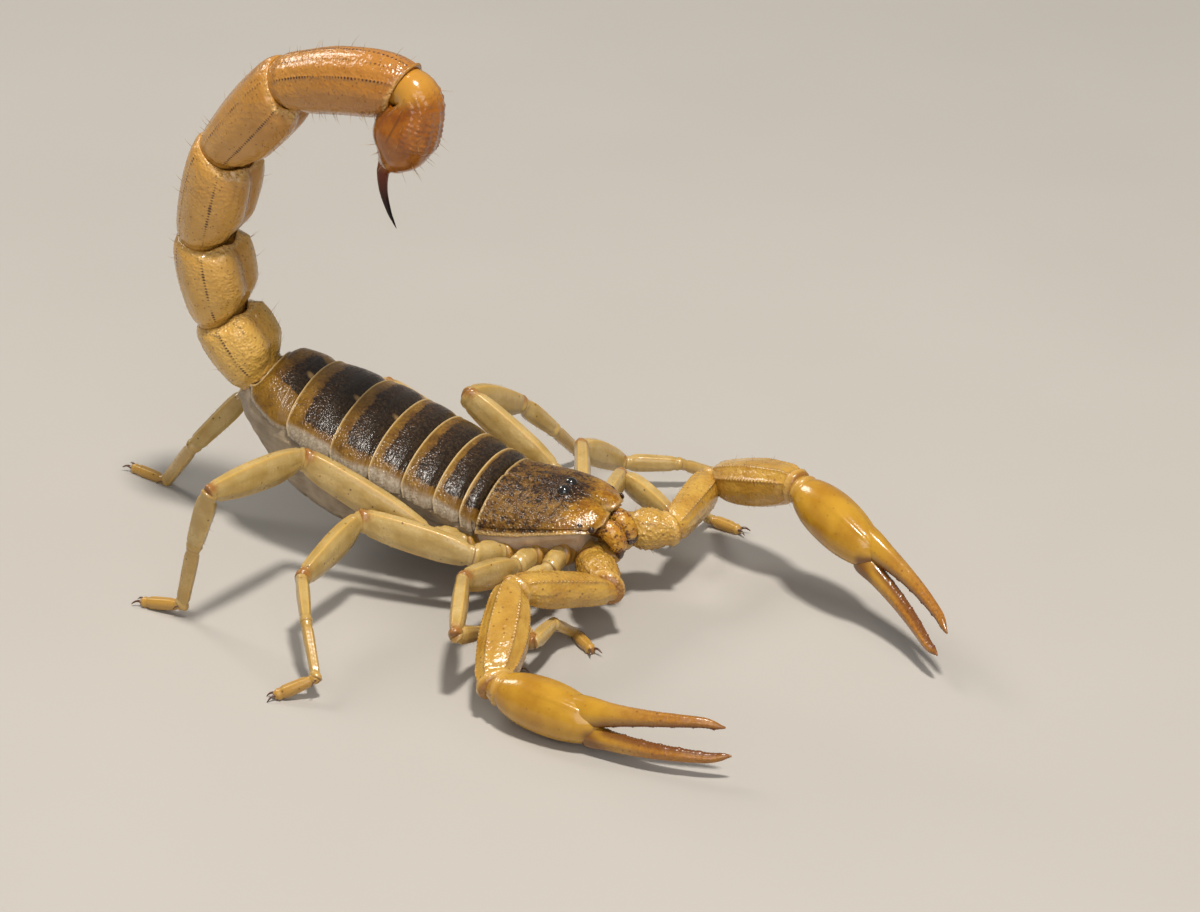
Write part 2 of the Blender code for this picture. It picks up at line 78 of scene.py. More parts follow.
def eased(stations, at):
    """Smooth values between stations of (place, value, value, ...)."""
    stations = np.array(stations, float)
    place, values = stations[:, 0], stations[:, 1:]
    order = np.arange(len(place))
    low, high = np.maximum(order - 1, 0), np.minimum(order + 1, len(place) - 1)
    slopes = (values[high] - values[low]) / (place[high] - place[low])[:, None]
    at = np.asarray(at, float)
    here = np.clip(np.searchsorted(place, at, side="right") - 1, 0, len(place) - 2)
    span = (place[here + 1] - place[here])[..., None]
    share = np.clip((at - place[here])[..., None] / span, 0, 1)
    start, end = values[here], values[here + 1]
    return (
        start
        + slopes[here] * span * share * (1 - share) ** 2
        + (end - start) * share * share * (3 - 2 * share)
        - slopes[here + 1] * span * share * share * (1 - share)
    )


def trunk_at(y):
    """Half width, top, drop to the plate's edge and depth of the trunk, along the last axis."""
    lines = eased(TRUNK, y)
    rise = BACK_RISE * (np.maximum(y, 0) / BACK_LENGTH) ** 0.9
    lines[..., 1] += rise
    return lines


def step(low, high, value):
    """0 below low and 1 above high, smooth between."""
    share = np.clip((value - low) / (high - low), 0, 1)
    return share * share * (3 - 2 * share)


def window(low, full, hold, end, value):
    """0 below low and above end, 1 from full to hold, smooth between."""
    return step(low, full, value) * (1 - step(hold, end, value))


def bell(value, width):
    """1 at 0, falling away smoothly on both sides."""
    return np.exp(-((value / width) ** 2))


def scatter(a, b, seed):
    """A number from 0 to 1 that looks random, for each pair of whole numbers."""
    return np.sin(a * 127.1 + b * 311.7 + seed * 74.7) * 43758.5453 % 1


def grains(u, v, spacing, size, seed=0):
    """Round grains scattered over a surface measured in millimetres: 0 between them, 1 on top."""
    nearest = np.full(np.broadcast(u, v).shape, 9.0)
    cell_u, cell_v = np.floor(u / spacing), np.floor(v / spacing)
    for a in (-1, 0, 1):
        for b in (-1, 0, 1):
            grain_u = (cell_u + a + 0.15 + 0.7 * scatter(cell_u + a, cell_v + b, seed)) * spacing
            grain_v = (cell_v + b + 0.15 + 0.7 * scatter(cell_u + a, cell_v + b, seed + 1)) * spacing
            nearest = np.minimum(nearest, np.hypot(u - grain_u, v - grain_v))
    return np.clip(1 - (nearest / size) ** 2, 0, 1) ** 2


def swell(u, v, size, seed=0):
    """Slow unevenness from -1 to 1 over a surface measured in millimetres."""
    total = 0
    for turn in range(4):
        angle, phase = seed + 2.4 * turn, 1.7 * seed + 3.1 * turn
        total = total + np.sin((u * np.cos(angle) + v * np.sin(angle)) * (1 + 0.37 * turn) / size + phase)
    return total / 4


def placed(name, data):
    """A new object in the scene."""
    made = bpy.data.objects.new(name, data)
    bpy.context.scene.collection.objects.link(made)
    return made


class Shell:
    """Closed grids of points in millimetres that become one mesh, each point with its paint.

    Paint that a grid leaves out is 0 there.
    """

    def __init__(self):
        self.points, self.corners, self.totals, self.finishes, self.paint = [], [], [], [], []
        self.count = 0

    def grid(self, points, finish=0, **paint):
        """Adds a tube of rings, one row each, closed at both ends."""
        rows, columns = points.shape[:2]
        index = np.arange(rows * columns).reshape(rows, columns)
        ahead = np.roll(index, -1, axis=1)
        quads = np.stack([index[:-1], ahead[:-1], ahead[1:], index[1:]], -1).reshape(-1, 4)
        tips = rows * columns + np.array((0, 1))
        near = np.stack([ahead[0], index[0], np.full(columns, tips[0])], -1)
        far = np.stack([index[-1], ahead[-1], np.full(columns, tips[1])], -1)
        flat = np.concatenate([points.reshape(-1, 3), points[0].mean(0)[None], points[-1].mean(0)[None]])
        threes = np.concatenate([near, far, quads[:, :3], quads[:, [0, 2, 3]]])
        if np.linalg.det(flat[threes] - flat[:1]).sum() < 0:
            quads, near, far = quads[:, ::-1], near[:, ::-1], far[:, ::-1]
        self.points.append(flat)
        for faces in (quads, near, far):
            self.corners.append((faces + self.count).ravel())
            self.totals.append(np.full(len(faces), faces.shape[1]))
            self.finishes.append(np.full(len(faces), finish))
        table = {}
        for key, value in paint.items():
            value = np.broadcast_to(value, (rows, columns)).astype(float)
            table[key] = np.concatenate([value.ravel(), [value[0].mean(), value[-1].mean()]])
        self.paint.append((len(flat), table))
        self.count += len(flat)

    def make(self, name, finishes, slot, *nodes):
        """One object that rides on the body and stands for those nodes."""
        mesh = bpy.data.meshes.new(name)
        points, corners = np.concatenate(self.points), np.concatenate(self.corners)
        totals = np.concatenate(self.totals)
        mesh.vertices.add(len(points))
        mesh.vertices.foreach_set("co", ((points - CENTRE) * MM).ravel())
        mesh.loops.add(len(corners))
        mesh.loops.foreach_set("vertex_index", corners.astype(np.int32))
        mesh.polygons.add(len(totals))
        mesh.polygons.foreach_set("loop_start", (np.cumsum(totals) - totals).astype(np.int32))
        mesh.polygons.foreach_set("material_index", np.concatenate(self.finishes).astype(np.int32))
        mesh.update(calc_edges=True)
        mesh.validate()
        mesh.shade_smooth()
        for key in sorted({key for _, table in self.paint for key in table}):
            values = [table.get(key, np.zeros(size)) for size, table in self.paint]
            layer = mesh.attributes.new(key, "FLOAT", "POINT")
            layer.data.foreach_set("value", np.concatenate(values).astype(np.float32))
        for finish in finishes:
            mesh.materials.append(finish)
        made = placed(name, mesh)
        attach(made, "root")
        if nodes:
            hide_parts(*nodes)
        return made


class Tint:
    """An output of a shader node. Sums of values add their own Math nodes."""

    def __init__(self, tree, output=None):
        self.tree, self.output = tree, output

    def node(self, kind, settings=None, sockets=None, output=0):
        made = self.tree.nodes.new("ShaderNode" + kind)
        for key, setting in (settings or {}).items():
            setattr(made, key, setting)
        for key, value in (sockets or {}).items():
            if isinstance(value, Tint):
                self.tree.links.new(value.output, made.inputs[key])
            else:
                made.inputs[key].default_value = value
        return Tint(self.tree, made.outputs[output])

    def math(self, operation, *values):
        return self.node("Math", {"operation": operation}, dict(enumerate(values)))

    def __add__(self, other):
        return self.math("ADD", self, other)

    def __sub__(self, other):
        return self.math("SUBTRACT", self, other)

    def __rsub__(self, other):
        return self.math("SUBTRACT", other, self)

    def __mul__(self, other):
        return self.math("MULTIPLY", self, other)

    __radd__, __rmul__ = __add__, __mul__

    def between(self, low, high):
        """0 below low and 1 above high."""
        return self.node(
            "MapRange", {"interpolation_type": "SMOOTHSTEP"}, {0: self, 1: low, 2: high, 3: 0.0, 4: 1.0}
        )

    def mix(self, colour, other):
        """colour where this is 0 and other where it is 1."""
        ends = [(*end, 1) if isinstance(end, tuple) else end for end in (colour, other)]
        return self.node(
            "Mix", {"data_type": "RGBA", "clamp_factor": True}, {0: self, 6: ends[0], 7: ends[1]}, 2
        )

    def blend(self, colour, other, low=0.3, high=0.7):
        """colour where this is below low, other where it is above high, and smooth between."""
        return self.between(low, high).mix(colour, other)

    def painted(self, name):
        """A value that the mesh carries."""
        return self.node("Attribute", {"attribute_name": name}, output="Fac")

    def coated(self, colour, **coats):
        """The colour under others, each laid on where the mesh carries the paint of its name."""
        for name, coat in coats.items():
            colour = self.painted(name).mix(colour, coat)
        return colour

    def wave(self, spacing):
        """0 to 1 and back every so many millimetres of this length."""
        return self.math("COSINE", self * (2 * np.pi / spacing)) * 0.5 + 0.5

    def place(self):
        return self.node("TexCoord", output="Object")

    def noise(self, size, detail=3.0, rough=0.55, at=None):
        """Cloudy noise whose blotches are this many millimetres wide."""
        sockets = {
            "Vector": at or self.place(),
            "Scale": 1 / (size * MM),
            "Detail": detail,
            "Roughness": rough,
        }
        return self.node("TexNoise", {}, sockets, "Fac")

    def spots(self, size, low=0.1, high=0.7):
        """1 on dots strewn this many millimetres apart, falling to 0 between those shares of the spacing."""
        sockets = {"Vector": self.place(), "Scale": 1 / (size * MM), "Randomness": 1.0}
        return 1 - self.node("TexVoronoi", {"feature": "F1"}, sockets, "Distance").between(low, high)

    def grain(self, across, along):
        """A place on the shell in millimetres, drawn out by these shares."""
        sides = {0: self.painted("across") * across * MM, 1: self.painted("along") * along * MM, 2: 0.0}
        return self.node("CombineXYZ", {}, sides)


def chitin(title, look, glow=0.12, coat=0.35, shine=0.5):
    """A shell material. look gives its colour, roughness and the height of its relief in millimetres."""
    made = bpy.data.materials.new(title)
    made.use_nodes = True
    tree = made.node_tree
    shader = tree.nodes["Principled BSDF"]
    colour, roughness, relief = look(Tint(tree))
    bump = Tint(tree).node("Bump", {}, {"Strength": 1.0, "Distance": MM, "Height": relief})
    for socket, tint in (("Base Color", colour), ("Roughness", roughness), ("Normal", bump)):
        tree.links.new(tint.output, shader.inputs[socket])
    for socket, value in (
        ("IOR", 1.5),
        ("Specular IOR Level", shine),
        ("Coat Weight", coat),
        ("Coat Roughness", 0.12),
        ("Subsurface Weight", glow),
        ("Subsurface Scale", 0.3 * MM),
        ("Subsurface Radius", (1.0, 0.5, 0.15)),
    ):
        shader.inputs[socket].default_value = value
    return made


def back_shell_look(t):
    """Granular back: near black, through olive brown to gold in front and along the borders."""
    gold, dark, side, bright = (t.painted(name) for name in ("gold", "dark", "side", "bright"))
    clotted, grit, smooth = (t.painted(name) for name in ("clotted", "grit", "streak"))
    cloud, fleck = t.noise(1.1, 4.0), t.noise(0.24, 3.0, 0.7)
    stain = gold * 1.25 - dark * 0.72 + (fleck - 0.5) * 0.9 + (cloud - 0.5) * 0.6 + 0.34
    amber = clotted.mix((0.045, 0.027, 0.013), (0.13, 0.054, 0.01))
    brown = fleck.blend((0.014, 0.007, 0.003), amber, 0.35, 0.7)
    olive = cloud.blend((0.115, 0.05, 0.008), (0.2, 0.098, 0.015))
    golden = cloud.blend((0.15, 0.07, 0.007), (0.24, 0.122, 0.014), 0.3, 0.75)
    colour = stain.blend(brown, olive, 0.1, 0.42)
    colour = stain.blend(colour, golden, 0.42, 1.0)
    mottle = (cloud * 0.6 + fleck * 0.7).between(0.45, 0.85)
    front = mottle.mix((0.2, 0.064, 0.003), (0.44, 0.225, 0.018))
    colour = bright.mix(colour, front)
    clumps = (t.noise(0.3, 4.0, 0.7) + dark * 0.06 - bright * 0.09).between(0.5, 0.66)
    colour = (clumps * clotted).mix(colour, (0.016, 0.006, 0.0025))
    pores = t.spots(0.3, 0.16, 0.4) * fleck.between(0.42, 0.6)
    colour = (pores * (1 - gold * 0.6) * (1 - side) * grit).mix(colour, (0.012, 0.006, 0.004))
    grey = fleck.blend((0.25, 0.19, 0.125), (0.4, 0.33, 0.24))
    colour = side.blend(colour, grey, 0.1, 0.95)
    colour = (t.painted("spot") * 1.2 - fleck * 0.5).blend(colour, (0.36, 0.22, 0.085), 0.15, 0.9)
    colour = t.coated(colour, rim=(0.58, 0.4, 0.17), seam=(0.014, 0.008, 0.005))
    streaks = t.noise(0.3, 4.0, 0.65, t.grain(0.12, 1.5))
    pebbles = (1 - smooth * 0.7) * t.spots(0.2, 0.1, 0.65) * grit
    relief = pebbles * 0.04 + (smooth + 0.3) * streaks * 0.07 + fleck * 0.01
    return colour, 0.25 - smooth * 0.07 + (cloud - 0.5) * 0.16 - bright * 0.08, relief


back_shell = chitin("back_shell_brown", back_shell_look, glow=0.03, coat=0.04, shine=0.42)

ARCH_TURN = np.linspace(-np.pi / 2, np.pi / 2, 150)[None]      # from one edge of the back over to the other
ARCH_OUTWARD = np.abs(ARCH_TURN) / (np.pi / 2)                 # 0 at the middle line, 1 at the edges
INNER_STEP = 3                                                 # columns of a plate's outer face to one inner
EYE_PLACE = np.array((0.52, -5.2, 0.52))
# Each side eye's distance from the middle line, place along y and radius.
LATERAL_EYES = ((2.6, -8.2, 0.25), (2.84, -7.4, 0.23), (3.06, -7.0, 0.1))


def arch(y, turn, inset, lift=0.0):
    """Points of the back's half ellipse at y, moved in by inset and out by lift."""
    lines = trunk_at(y)
    half_width, drop = lines[..., 0] - inset + lift, lines[..., 2] - inset + lift
    x = half_width * np.sin(turn)
    place, length, width, height = EYE_HILL
    hill = height * bell(y - place, length) * bell(x, width)
    z = lines[..., 1] - lines[..., 2] + drop * np.cos(turn) + hill
    return np.stack([x, y + 0 * x, z], -1)


def arched_plate(shell, front, rear, rows, lift, thick=0.34, **paint):
    """A closed plate between two lines along y, with its outer face lifted by a height."""
    y = front + (rear - front) * rows[:, None]
    outer = arch(y, ARCH_TURN, 0.0, lift)
    inner_y = np.clip(y, np.min(front) + 0.05, np.max(rear) - 0.05)
    inner = arch(inner_y, ARCH_TURN, thick, np.minimum(lift, 0))[:, ::-INNER_STEP]
    painted = {}
    for key, value in paint.items():
        value = np.broadcast_to(value, y.shape[:1] + ARCH_TURN.shape[1:])
        painted[key] = np.concatenate([value, value[:, ::-INNER_STEP]], axis=1)
    shell.grid(posed(np.concatenate([outer, inner], axis=1)), **painted)


def build_carapace():
    turn = ARCH_TURN
    rows = np.concatenate([[0, 0.004, 0.012], np.linspace(0.022, 0.985, 104), [0.993, 1.0]])
    share = rows[:, None] + 0 * turn
    outward = np.abs(np.sin(turn))
    front = -HEAD_LENGTH - 0.3 + 0.85 * bell(outward, 0.17) + 0.42 * step(0.6, 1.0, outward) ** 1.6
    rear = -0.08 + 0.0 * turn
    y = front + (rear - front) * rows[:, None]
    lines = trunk_at(y)
    x = lines[..., 0] * np.sin(turn)
    arc = lines[..., 0] * turn
    ahead = -y / HEAD_LENGTH                                 # 0 at the rear, 1 at the front
    from_eyes = y - EYE_PLACE[1]
    border = step(0.90, 0.97, ARCH_OUTWARD + 0 * y)
    front_rim = 1 - step(0.0, 0.035, share)
    rear_rim = step(0.965, 0.985, share)
    eyes = bell(from_eyes, 1.5) * bell(x, 1.3)
    furrow = bell(x, 0.28) * (1 - step(0.75, 0.9, ahead)) * (1 - bell(from_eyes, 0.9))
    hollow = bell(np.abs(x) - 1.9, 0.8) * bell(y + 2.1, 0.9)
    coarse = grains(arc, y, 0.3, 0.13, 3)
    fine = grains(arc, y, 0.19, 0.09, 8)
    edge_of_gold = ahead + 0.1 * outward + 0.05 * swell(arc, y, 0.35, 2) + 0.03 * swell(arc, y, 0.15, 5)
    gold_front = step(0.68, 0.93, edge_of_gold) * (1 - 0.9 * eyes) * (1 - 0.6 * bell(x, 0.42))
    front_lobes = bell(np.abs(x) - 1.05, 0.7) * step(0.78, 0.95, ahead)
    rough_zone = (1 - border) * (1 - 0.75 * gold_front) * (1 - front_rim)
    arms = bell(np.abs(x) - 0.75 - 0.22 * from_eyes, 0.22) * window(-5.0, -4.2, -1.6, -0.8, y)
    lift = (
        0.03 * rough_zone * coarse + 0.016 * rough_zone * fine
        - 0.14 * furrow - 0.16 * hollow + 0.07 * arms * (0.4 + 0.6 * coarse)
        + 0.1 * border - 0.1 * bell(ARCH_OUTWARD - 0.87, 0.03)
        + 0.05 * front_rim - 0.3 * (1 - step(0.0, 0.075, share)) ** 2
        + 0.05 * rear_rim - 0.22 * step(0.985, 1.0, share)
        + 0.05 * swell(arc, y, 0.9, 4) + 0.22 * front_lobes - 0.2 * bell(x, 0.3) * step(0.84, 0.97, ahead)
        - 0.14 * bell(from_eyes, 1.2) * bell(x, 0.9)
    )
    socket = sum(bell(np.hypot(x - side * EYE_PLACE[0], from_eyes) - 0.56, 0.12) for side in (-1, 1))
    lift += 0.09 * socket
    patches = 0.35 * swell(arc, y, 0.42, 12) + 0.25 * swell(arc, y, 0.2, 3)
    dark = np.clip(0.55 + 0.62 * eyes + 0.2 * coarse + patches - 0.35 * bell(np.abs(x) - 3.0, 1.1), 0, 1.4)
    eye_spots = np.max([
        bell(np.hypot(np.abs(x) - out, 0.8 * (y - at)), 1.3 * radius) for out, at, radius in LATERAL_EYES
    ], axis=0)
    shell = Shell()
    arched_plate(
        shell, front, rear, rows, lift, along=y, across=arc,
        bright=np.clip(gold_front + 0.35 * border, 0, 1),
        gold=np.clip(0.3 + 0.8 * gold_front + 0.5 * border + 0.4 * rear_rim - 0.3 * eyes, 0, 1),
        dark=np.clip(dark * (1 - 0.85 * gold_front), 0, 1.4), grit=1 - 0.6 * gold_front,
        clotted=np.clip(0.9 - 0.5 * gold_front - border, 0, 1),
        rim=0.75 * np.maximum(border, rear_rim) + 0.3 * front_rim,
        seam=np.clip(step(0.99, 1.0, share) + 0.7 * eye_spots, 0, 1),
        streak=0.25 * hollow,
    )
    shell.make("carapace_shield", [back_shell], "carapace_shell", "carapace")


build_carapace()

# Eyes: two large glossy domes of clear horn over black, in low sockets on the
# hill, and three small flat brown ones at each front corner.


def eye_look(t):
    depth = t.noise(0.5)
    return depth.mix((0.004, 0.0035, 0.003), (0.012, 0.009, 0.007)), depth * 0.03 + 0.03, depth * 0.001


def side_eye_look(t):
    depth = t.noise(0.25)
    return depth.mix((0.012, 0.005, 0.003), (0.05, 0.018, 0.006)), depth * 0.1 + 0.14, depth * 0.004


eye_black = chitin("eye_black_glass", eye_look, glow=0.0, coat=1.0)
eye_brown = chitin("eye_brown_glass", side_eye_look, glow=0.0, coat=0.4)


def dome(shell, centre, out, radius, height, rings=16, columns=28):
    """A smooth dome round a centre, whose top points outwards, with its lower half below the skin."""
    out = np.array(out, float) / np.linalg.norm(out)
    side = np.cross(out, (0, 1, 0.2))
    side /= np.linalg.norm(side)
    over = np.cross(out, side)
    lift = np.linspace(-0.98, 0.985, rings)[:, None] * np.pi / 2
    around = np.linspace(0, 2 * np.pi, columns, endpoint=False)[None]
    flat = radius * np.cos(lift)[..., None] * (
        np.cos(around)[..., None] * side + np.sin(around)[..., None] * over
    )
    shell.grid(centre + flat + (height * np.sin(lift))[..., None] * out)


def build_eyes():
    for name, side in SIDES.items():
        shell = Shell()
        centre = posed(EYE_PLACE * (side, 1, 1) + (0.03 * side, 0.03, -0.31))
        dome(shell, centre, TRUNK_TURN @ (0.75 * side, -0.1, 1), 0.5, 0.48, 24, 40)
        shell.make(f"eye_dome_{name}", [eye_black], "eye", f"eye_{name}")
        shell = Shell()
        for x, y, radius in LATERAL_EYES:
            half_width, top, drop, _ = trunk_at(np.array(y))
            turn = np.arcsin(min(0.97, x / half_width))
            centre = posed((side * (x - 0.16), y, top - drop + (drop - 0.05) * np.cos(turn)))
            out = TRUNK_TURN @ np.array((side * np.sin(turn), -0.35, np.cos(turn)))
            dome(shell, centre, out, radius, radius * 0.55)
        shell.make(f"side_eyes_{name}", [eye_brown], "eye")


build_eyes()

# Back plates: seven arched plates that lie over one another like roof tiles.
# Each has a smooth streaked strip in front, a dark granular band, an olive-gold
# band and a thin pale rear rim, and pales to grey skin at its sides.

PLATE_ENDS = (0.0, 1.1, 3.1, 5.5, 8.0, 11.1, 14.8, 22.0)
PLATE_SPOTS = (0.0, 0.0, 0.1, 0.3, 0.75, 0.9, 1.0)      # how clear each plate's pale middle spot is
LIP_ROWS = (0.945, 0.958, 0.97, 0.982, 0.992, 1.0)
BACK_END_TILT = radians(35)
TAIL_ROOT = np.array((0, 19.2, 3.3))


def build_back_plates():
    turn, outward = ARCH_TURN, ARCH_OUTWARD
    for number, (start, end) in enumerate(zip(PLATE_ENDS, PLATE_ENDS[1:]), start=1):
        last = number == len(PLATE_ENDS) - 1
        count = 64 if last else 26 + int(9 * (end - start))
        rows = np.concatenate([[0.0], np.linspace(0.015, 0.93, count), LIP_ROWS])
        front = start - 0.12 + 0.0 * turn
        rear = end + 0.1 - 0.25 * step(0.75, 1.0, outward) + 0.0 * turn
        if last:
            lines = trunk_at(np.array(BACK_LENGTH))
            height = lines[1] - lines[2] + lines[2] * np.cos(turn) - TAIL_ROOT[2]
            rear = BACK_LENGTH - np.tan(BACK_END_TILT) * height - 0.05
        y = front + (rear - front) * rows[:, None]
        share = rows[:, None] + 0 * turn
        lines = trunk_at(y)
        arc, x = lines[..., 0] * turn, lines[..., 0] * np.sin(turn)
        length = end - start if not last else 4.6
        from_rear = rear - y
        rim = 1 - step(0.1, 0.19, from_rear)
        bump_line = 0.3 * swell(arc, y, 0.8, number)
        gold_width = (0.46 if number < 3 else 0.62) * length * (1 + 0.5 * bump_line)
        gold = 0.95 * (1 - step(0.1, gold_width, from_rear)) ** 1.25
        gold = np.maximum(gold, step(0.4, 0.8, outward + 0.1 * bump_line) * 0.75)
        smooth_width = (0.42 if not last else 0.2) * length
        smooth = 1 - step(smooth_width, smooth_width + 0.35, y - front + 0.25 * bump_line)
        side = step(0.66, 0.84, outward + 0.1 * swell(arc, y, 1.3, number + 5))
        dark = np.clip(1.1 - 0.5 * gold - 0.6 * side, 0, 1) * (1 - 0.45 * step(0.4, 0.8, outward))
        if last:
            dark = dark * (1 - 0.95 * step(0.2, 0.45, outward + 0.2 * bump_line))
            gold = np.maximum(gold, step(0.22, 0.5, outward + 0.15 * bump_line) * 0.8)
            gold = np.maximum(gold, 0.75 * step(0.45, 0.8, share))
            side = step(0.84, 0.98, outward)
        coarse, fine = grains(arc, y, 0.3, 0.14, number), grains(arc, y, 0.17, 0.085, number + 30)
        grainy = (1 - smooth) * (1 - 0.75 * gold) * (1 - side) * (1 - rim)
        ridges = np.sin(y * 21 + 1.2 * swell(arc, y, 0.7, number)) * step(0.05, 0.15, share)
        keel = bell(x, 0.16) + 0.7 * bell(np.abs(x) - 1.25, 0.14) * step(0.3, 0.5, share)
        arched = 0.16 * np.sin(np.pi * np.clip(share, 0, 1)) ** 0.8
        folds = 0.03 * side * np.sin(y * 9 + 2 * swell(arc, y, 1.0, 3))
        lift = (
            -0.34 * (1 - step(0.0, 0.32, share)) + arched
            + grainy * (0.022 * coarse + 0.014 * fine) + 0.008 * smooth * ridges
            + 0.05 * keel * grainy * (0.4 + 0.6 * coarse) + 0.085 * rim + folds
            + 0.03 * swell(arc, y, 1.4, number) - 0.2 * step(0.985, 1.0, share)
        )
        if last:
            lift = lift - (0.3 + 0.65 * step(0.1, 0.9, outward)) * step(0.68, 1.0, share) ** 2
        spot = bell(x + 0.1, 0.4) * bell(y - front - 0.4, 0.42) * PLATE_SPOTS[number - 1]
        seam = (1 - step(0.01, 0.06, share)) * 0.7 + step(0.988, 1.0, share)
        shell = Shell()
        arched_plate(
            shell, front, rear, rows, lift, along=y, across=arc, gold=gold, dark=dark,
            rim=rim * (0.8 - 0.5 * side), side=side, seam=np.clip(seam, 0, 1), streak=smooth, spot=spot,
            grit=0.85 - 0.45 * gold, clotted=0.35 * (1 - smooth),
        )
        shell.make(f"back_plate_{number}", [back_shell], "back_shell", f"tergite_{number}")


build_back_plates()

# Belly and sides: soft folded skin that joins the back plates to five smooth
# belly plates, seen as pale pleats along the flanks.


def skin_look(t):
    """Grey-cream skin with fine pleats, and smooth grey-brown belly plates."""
    plate = t.painted("plate")
    cloud, fine = t.noise(1.6), t.noise(0.22, 3.0, 0.6)
    skin = cloud.blend((0.24, 0.175, 0.11), (0.38, 0.295, 0.195))
    hard = cloud.blend((0.16, 0.11, 0.055), (0.25, 0.18, 0.095))
    colour = t.coated(plate.mix(skin, hard), rim=(0.4, 0.27, 0.12), seam=(0.08, 0.05, 0.03))
    pleats = t.noise(0.5, 3.0, 0.6, t.grain(0.4, 2.2))
    relief = (1 - plate) * pleats * 0.09 + fine * 0.015
    return colour, 0.5 - plate * 0.16 + (fine - 0.5) * 0.15, relief


def horn_look(t):
    """Dark horn of the breathing slits and of the claws on the feet."""
    cloud = t.noise(0.3)
    return cloud.mix((0.05, 0.018, 0.008), (0.12, 0.045, 0.015)), 0.22 + cloud * 0.15, cloud * 0.01


soft_skin = chitin("soft_skin", skin_look, glow=0.12, coat=0.12)
horn_brown = chitin("horn_brown", horn_look, glow=0.05, coat=0.5)

WAIST, WAIST_TILT = 0.9, radians(24)      # place and lean of the cut between head and belly


def rounded(corners, count):
    """A closed outline smoothed by cutting its corners, then spaced evenly."""
    for _ in range(3):
        ahead = np.roll(corners, -1, axis=0)
        corners = np.stack([0.75 * corners + 0.25 * ahead, 0.25 * corners + 0.75 * ahead], 1).reshape(-1, 2)
    corners = np.concatenate([corners, corners[:1]])
    walked = np.concatenate([[0], np.cumsum(np.linalg.norm(np.diff(corners, axis=0), axis=1))])
    at = np.linspace(0, walked[-1], count, endpoint=False)
    return np.stack([np.interp(at, walked, corners[:, k]) for k in (0, 1)], 1)


def core_outline(y, flank, belly, count):
    """The body's outline under the plates at y, starting at the middle of the belly."""
    half_width, top, drop, depth = trunk_at(np.array(y))
    under = PLATE_ROOM + 0.1
    edge, floor = top - drop, top - depth
    half = [
        (belly, floor),
        (0.86 * flank, floor + 0.45),
        (flank + 0.1, edge - 1.1),
        (half_width - 0.1, edge - 0.3),
    ]
    for turn in np.linspace(np.pi / 2, 0, 7)[1:-1]:
        half.append(((half_width - under) * np.sin(turn), edge + (drop - under) * np.cos(turn)))
    corners = [(0, floor), *half, (0, top - under), *[(-x, z) for x, z in half[::-1]]]
    return rounded(np.array(corners), count)


def build_abdomen():
    columns = 200
    rows = np.linspace(0.2, 20.6, 150)
    outlines = []
    for y in rows:
        half_width = trunk_at(np.array(y))[0]
        flank = half_width - 0.05 - 0.6 * bell(y - 3.4, 3.2)     # drawn in where the last legs pass
        outlines.append(core_outline(y, flank, 0.5 * half_width, columns))
    outlines = np.array(outlines)
    x, z = outlines[..., 0], outlines[..., 1]
    y = rows[:, None] + 0 * x
    lines = trunk_at(y)
    middle = lines[..., 1] - 0.55 * lines[..., 3]
    out = np.stack([x, z - middle], -1)
    out /= np.linalg.norm(out, axis=-1, keepdims=True) + 1e-9
    low = lines[..., 1] - z > 0.5 * lines[..., 3]
    lateral = np.abs(x) / lines[..., 0]
    plate_zone = (1 - step(0.8, 0.86, lateral)) * step(0.64, 0.74, (lines[..., 1] - z) / lines[..., 3])
    ends = (4.6, 7.4, 10.3, 13.3, 16.4, 20.9)
    nearest = np.min([np.abs(y - end - 0.25 * x * x / 9) for end in ends], axis=0)
    seam_line = 1 - step(0.05, 0.16, nearest)
    plated = plate_zone * (1 - seam_line) * step(4.2, 4.4, y)
    behind = np.max([bell(y - end + 0.28 - 0.25 * x * x / 9, 0.14) for end in ends], axis=0) * plate_zone
    side_pleats = np.sin(z * 7.5 + 0.8 * swell(y, z, 1.1, 2)) * (1 - plate_zone)
    bulge = 0.12 * np.abs(np.sin(np.pi * (y - 1) / 3.1)) * (1 - plate_zone)
    lift = 0.1 * plated + 0.035 * side_pleats + bulge - 0.05 * seam_line * plate_zone
    lift += 0.025 * swell(np.arctan2(x, -z) * 4, y, 0.5, 7)
    lift *= low | (lateral > 0.8)
    x, z = x + out[..., 0] * lift, z + out[..., 1] * lift
    # both ends are slid along y onto the leaning cuts where the head and the tail begin
    front = WAIST + 0.12 + np.tan(WAIST_TILT) * z
    rear = BACK_LENGTH - np.tan(BACK_END_TILT) * (z - TAIL_ROOT[2]) - 0.25
    y = np.clip(y, front, rear)
    drawn_in = 1 - 0.32 * step(-2.2, 0.0, y - rear) ** 2
    x, z = x * drawn_in, TAIL_ROOT[2] + (z - TAIL_ROOT[2]) * drawn_in
    shell = Shell()
    shell.grid(
        posed(np.stack([x, y, z], -1)), plate=plated, rim=0.6 * behind, along=z, across=y,
        seam=0.8 * seam_line * plate_zone,
    )
    # breathing slits: two on each of the first four belly plates
    slits = Shell()
    for end in ends[1:5]:
        for side in SIDES.values():
            half_width, top, _, depth = trunk_at(np.array(end - 1.5))
            centre = posed((side * 0.5 * half_width, end - 1.5, top - depth - 0.06))
            dome(slits, centre, TRUNK_TURN @ (0, 0, -1), 0.2, 0.05, 6, 14)
    slits.make("breathing_slits", [horn_brown], "membrane")
    shell.make("abdomen_skin", [soft_skin], "membrane", "abdomen")


build_abdomen()

# Tail: five hard rings of thick amber chitin. Each has seven or eight beaded
# ridges, a furrow along its upper side and a flared rim that holds the narrow
# base of the next ring.

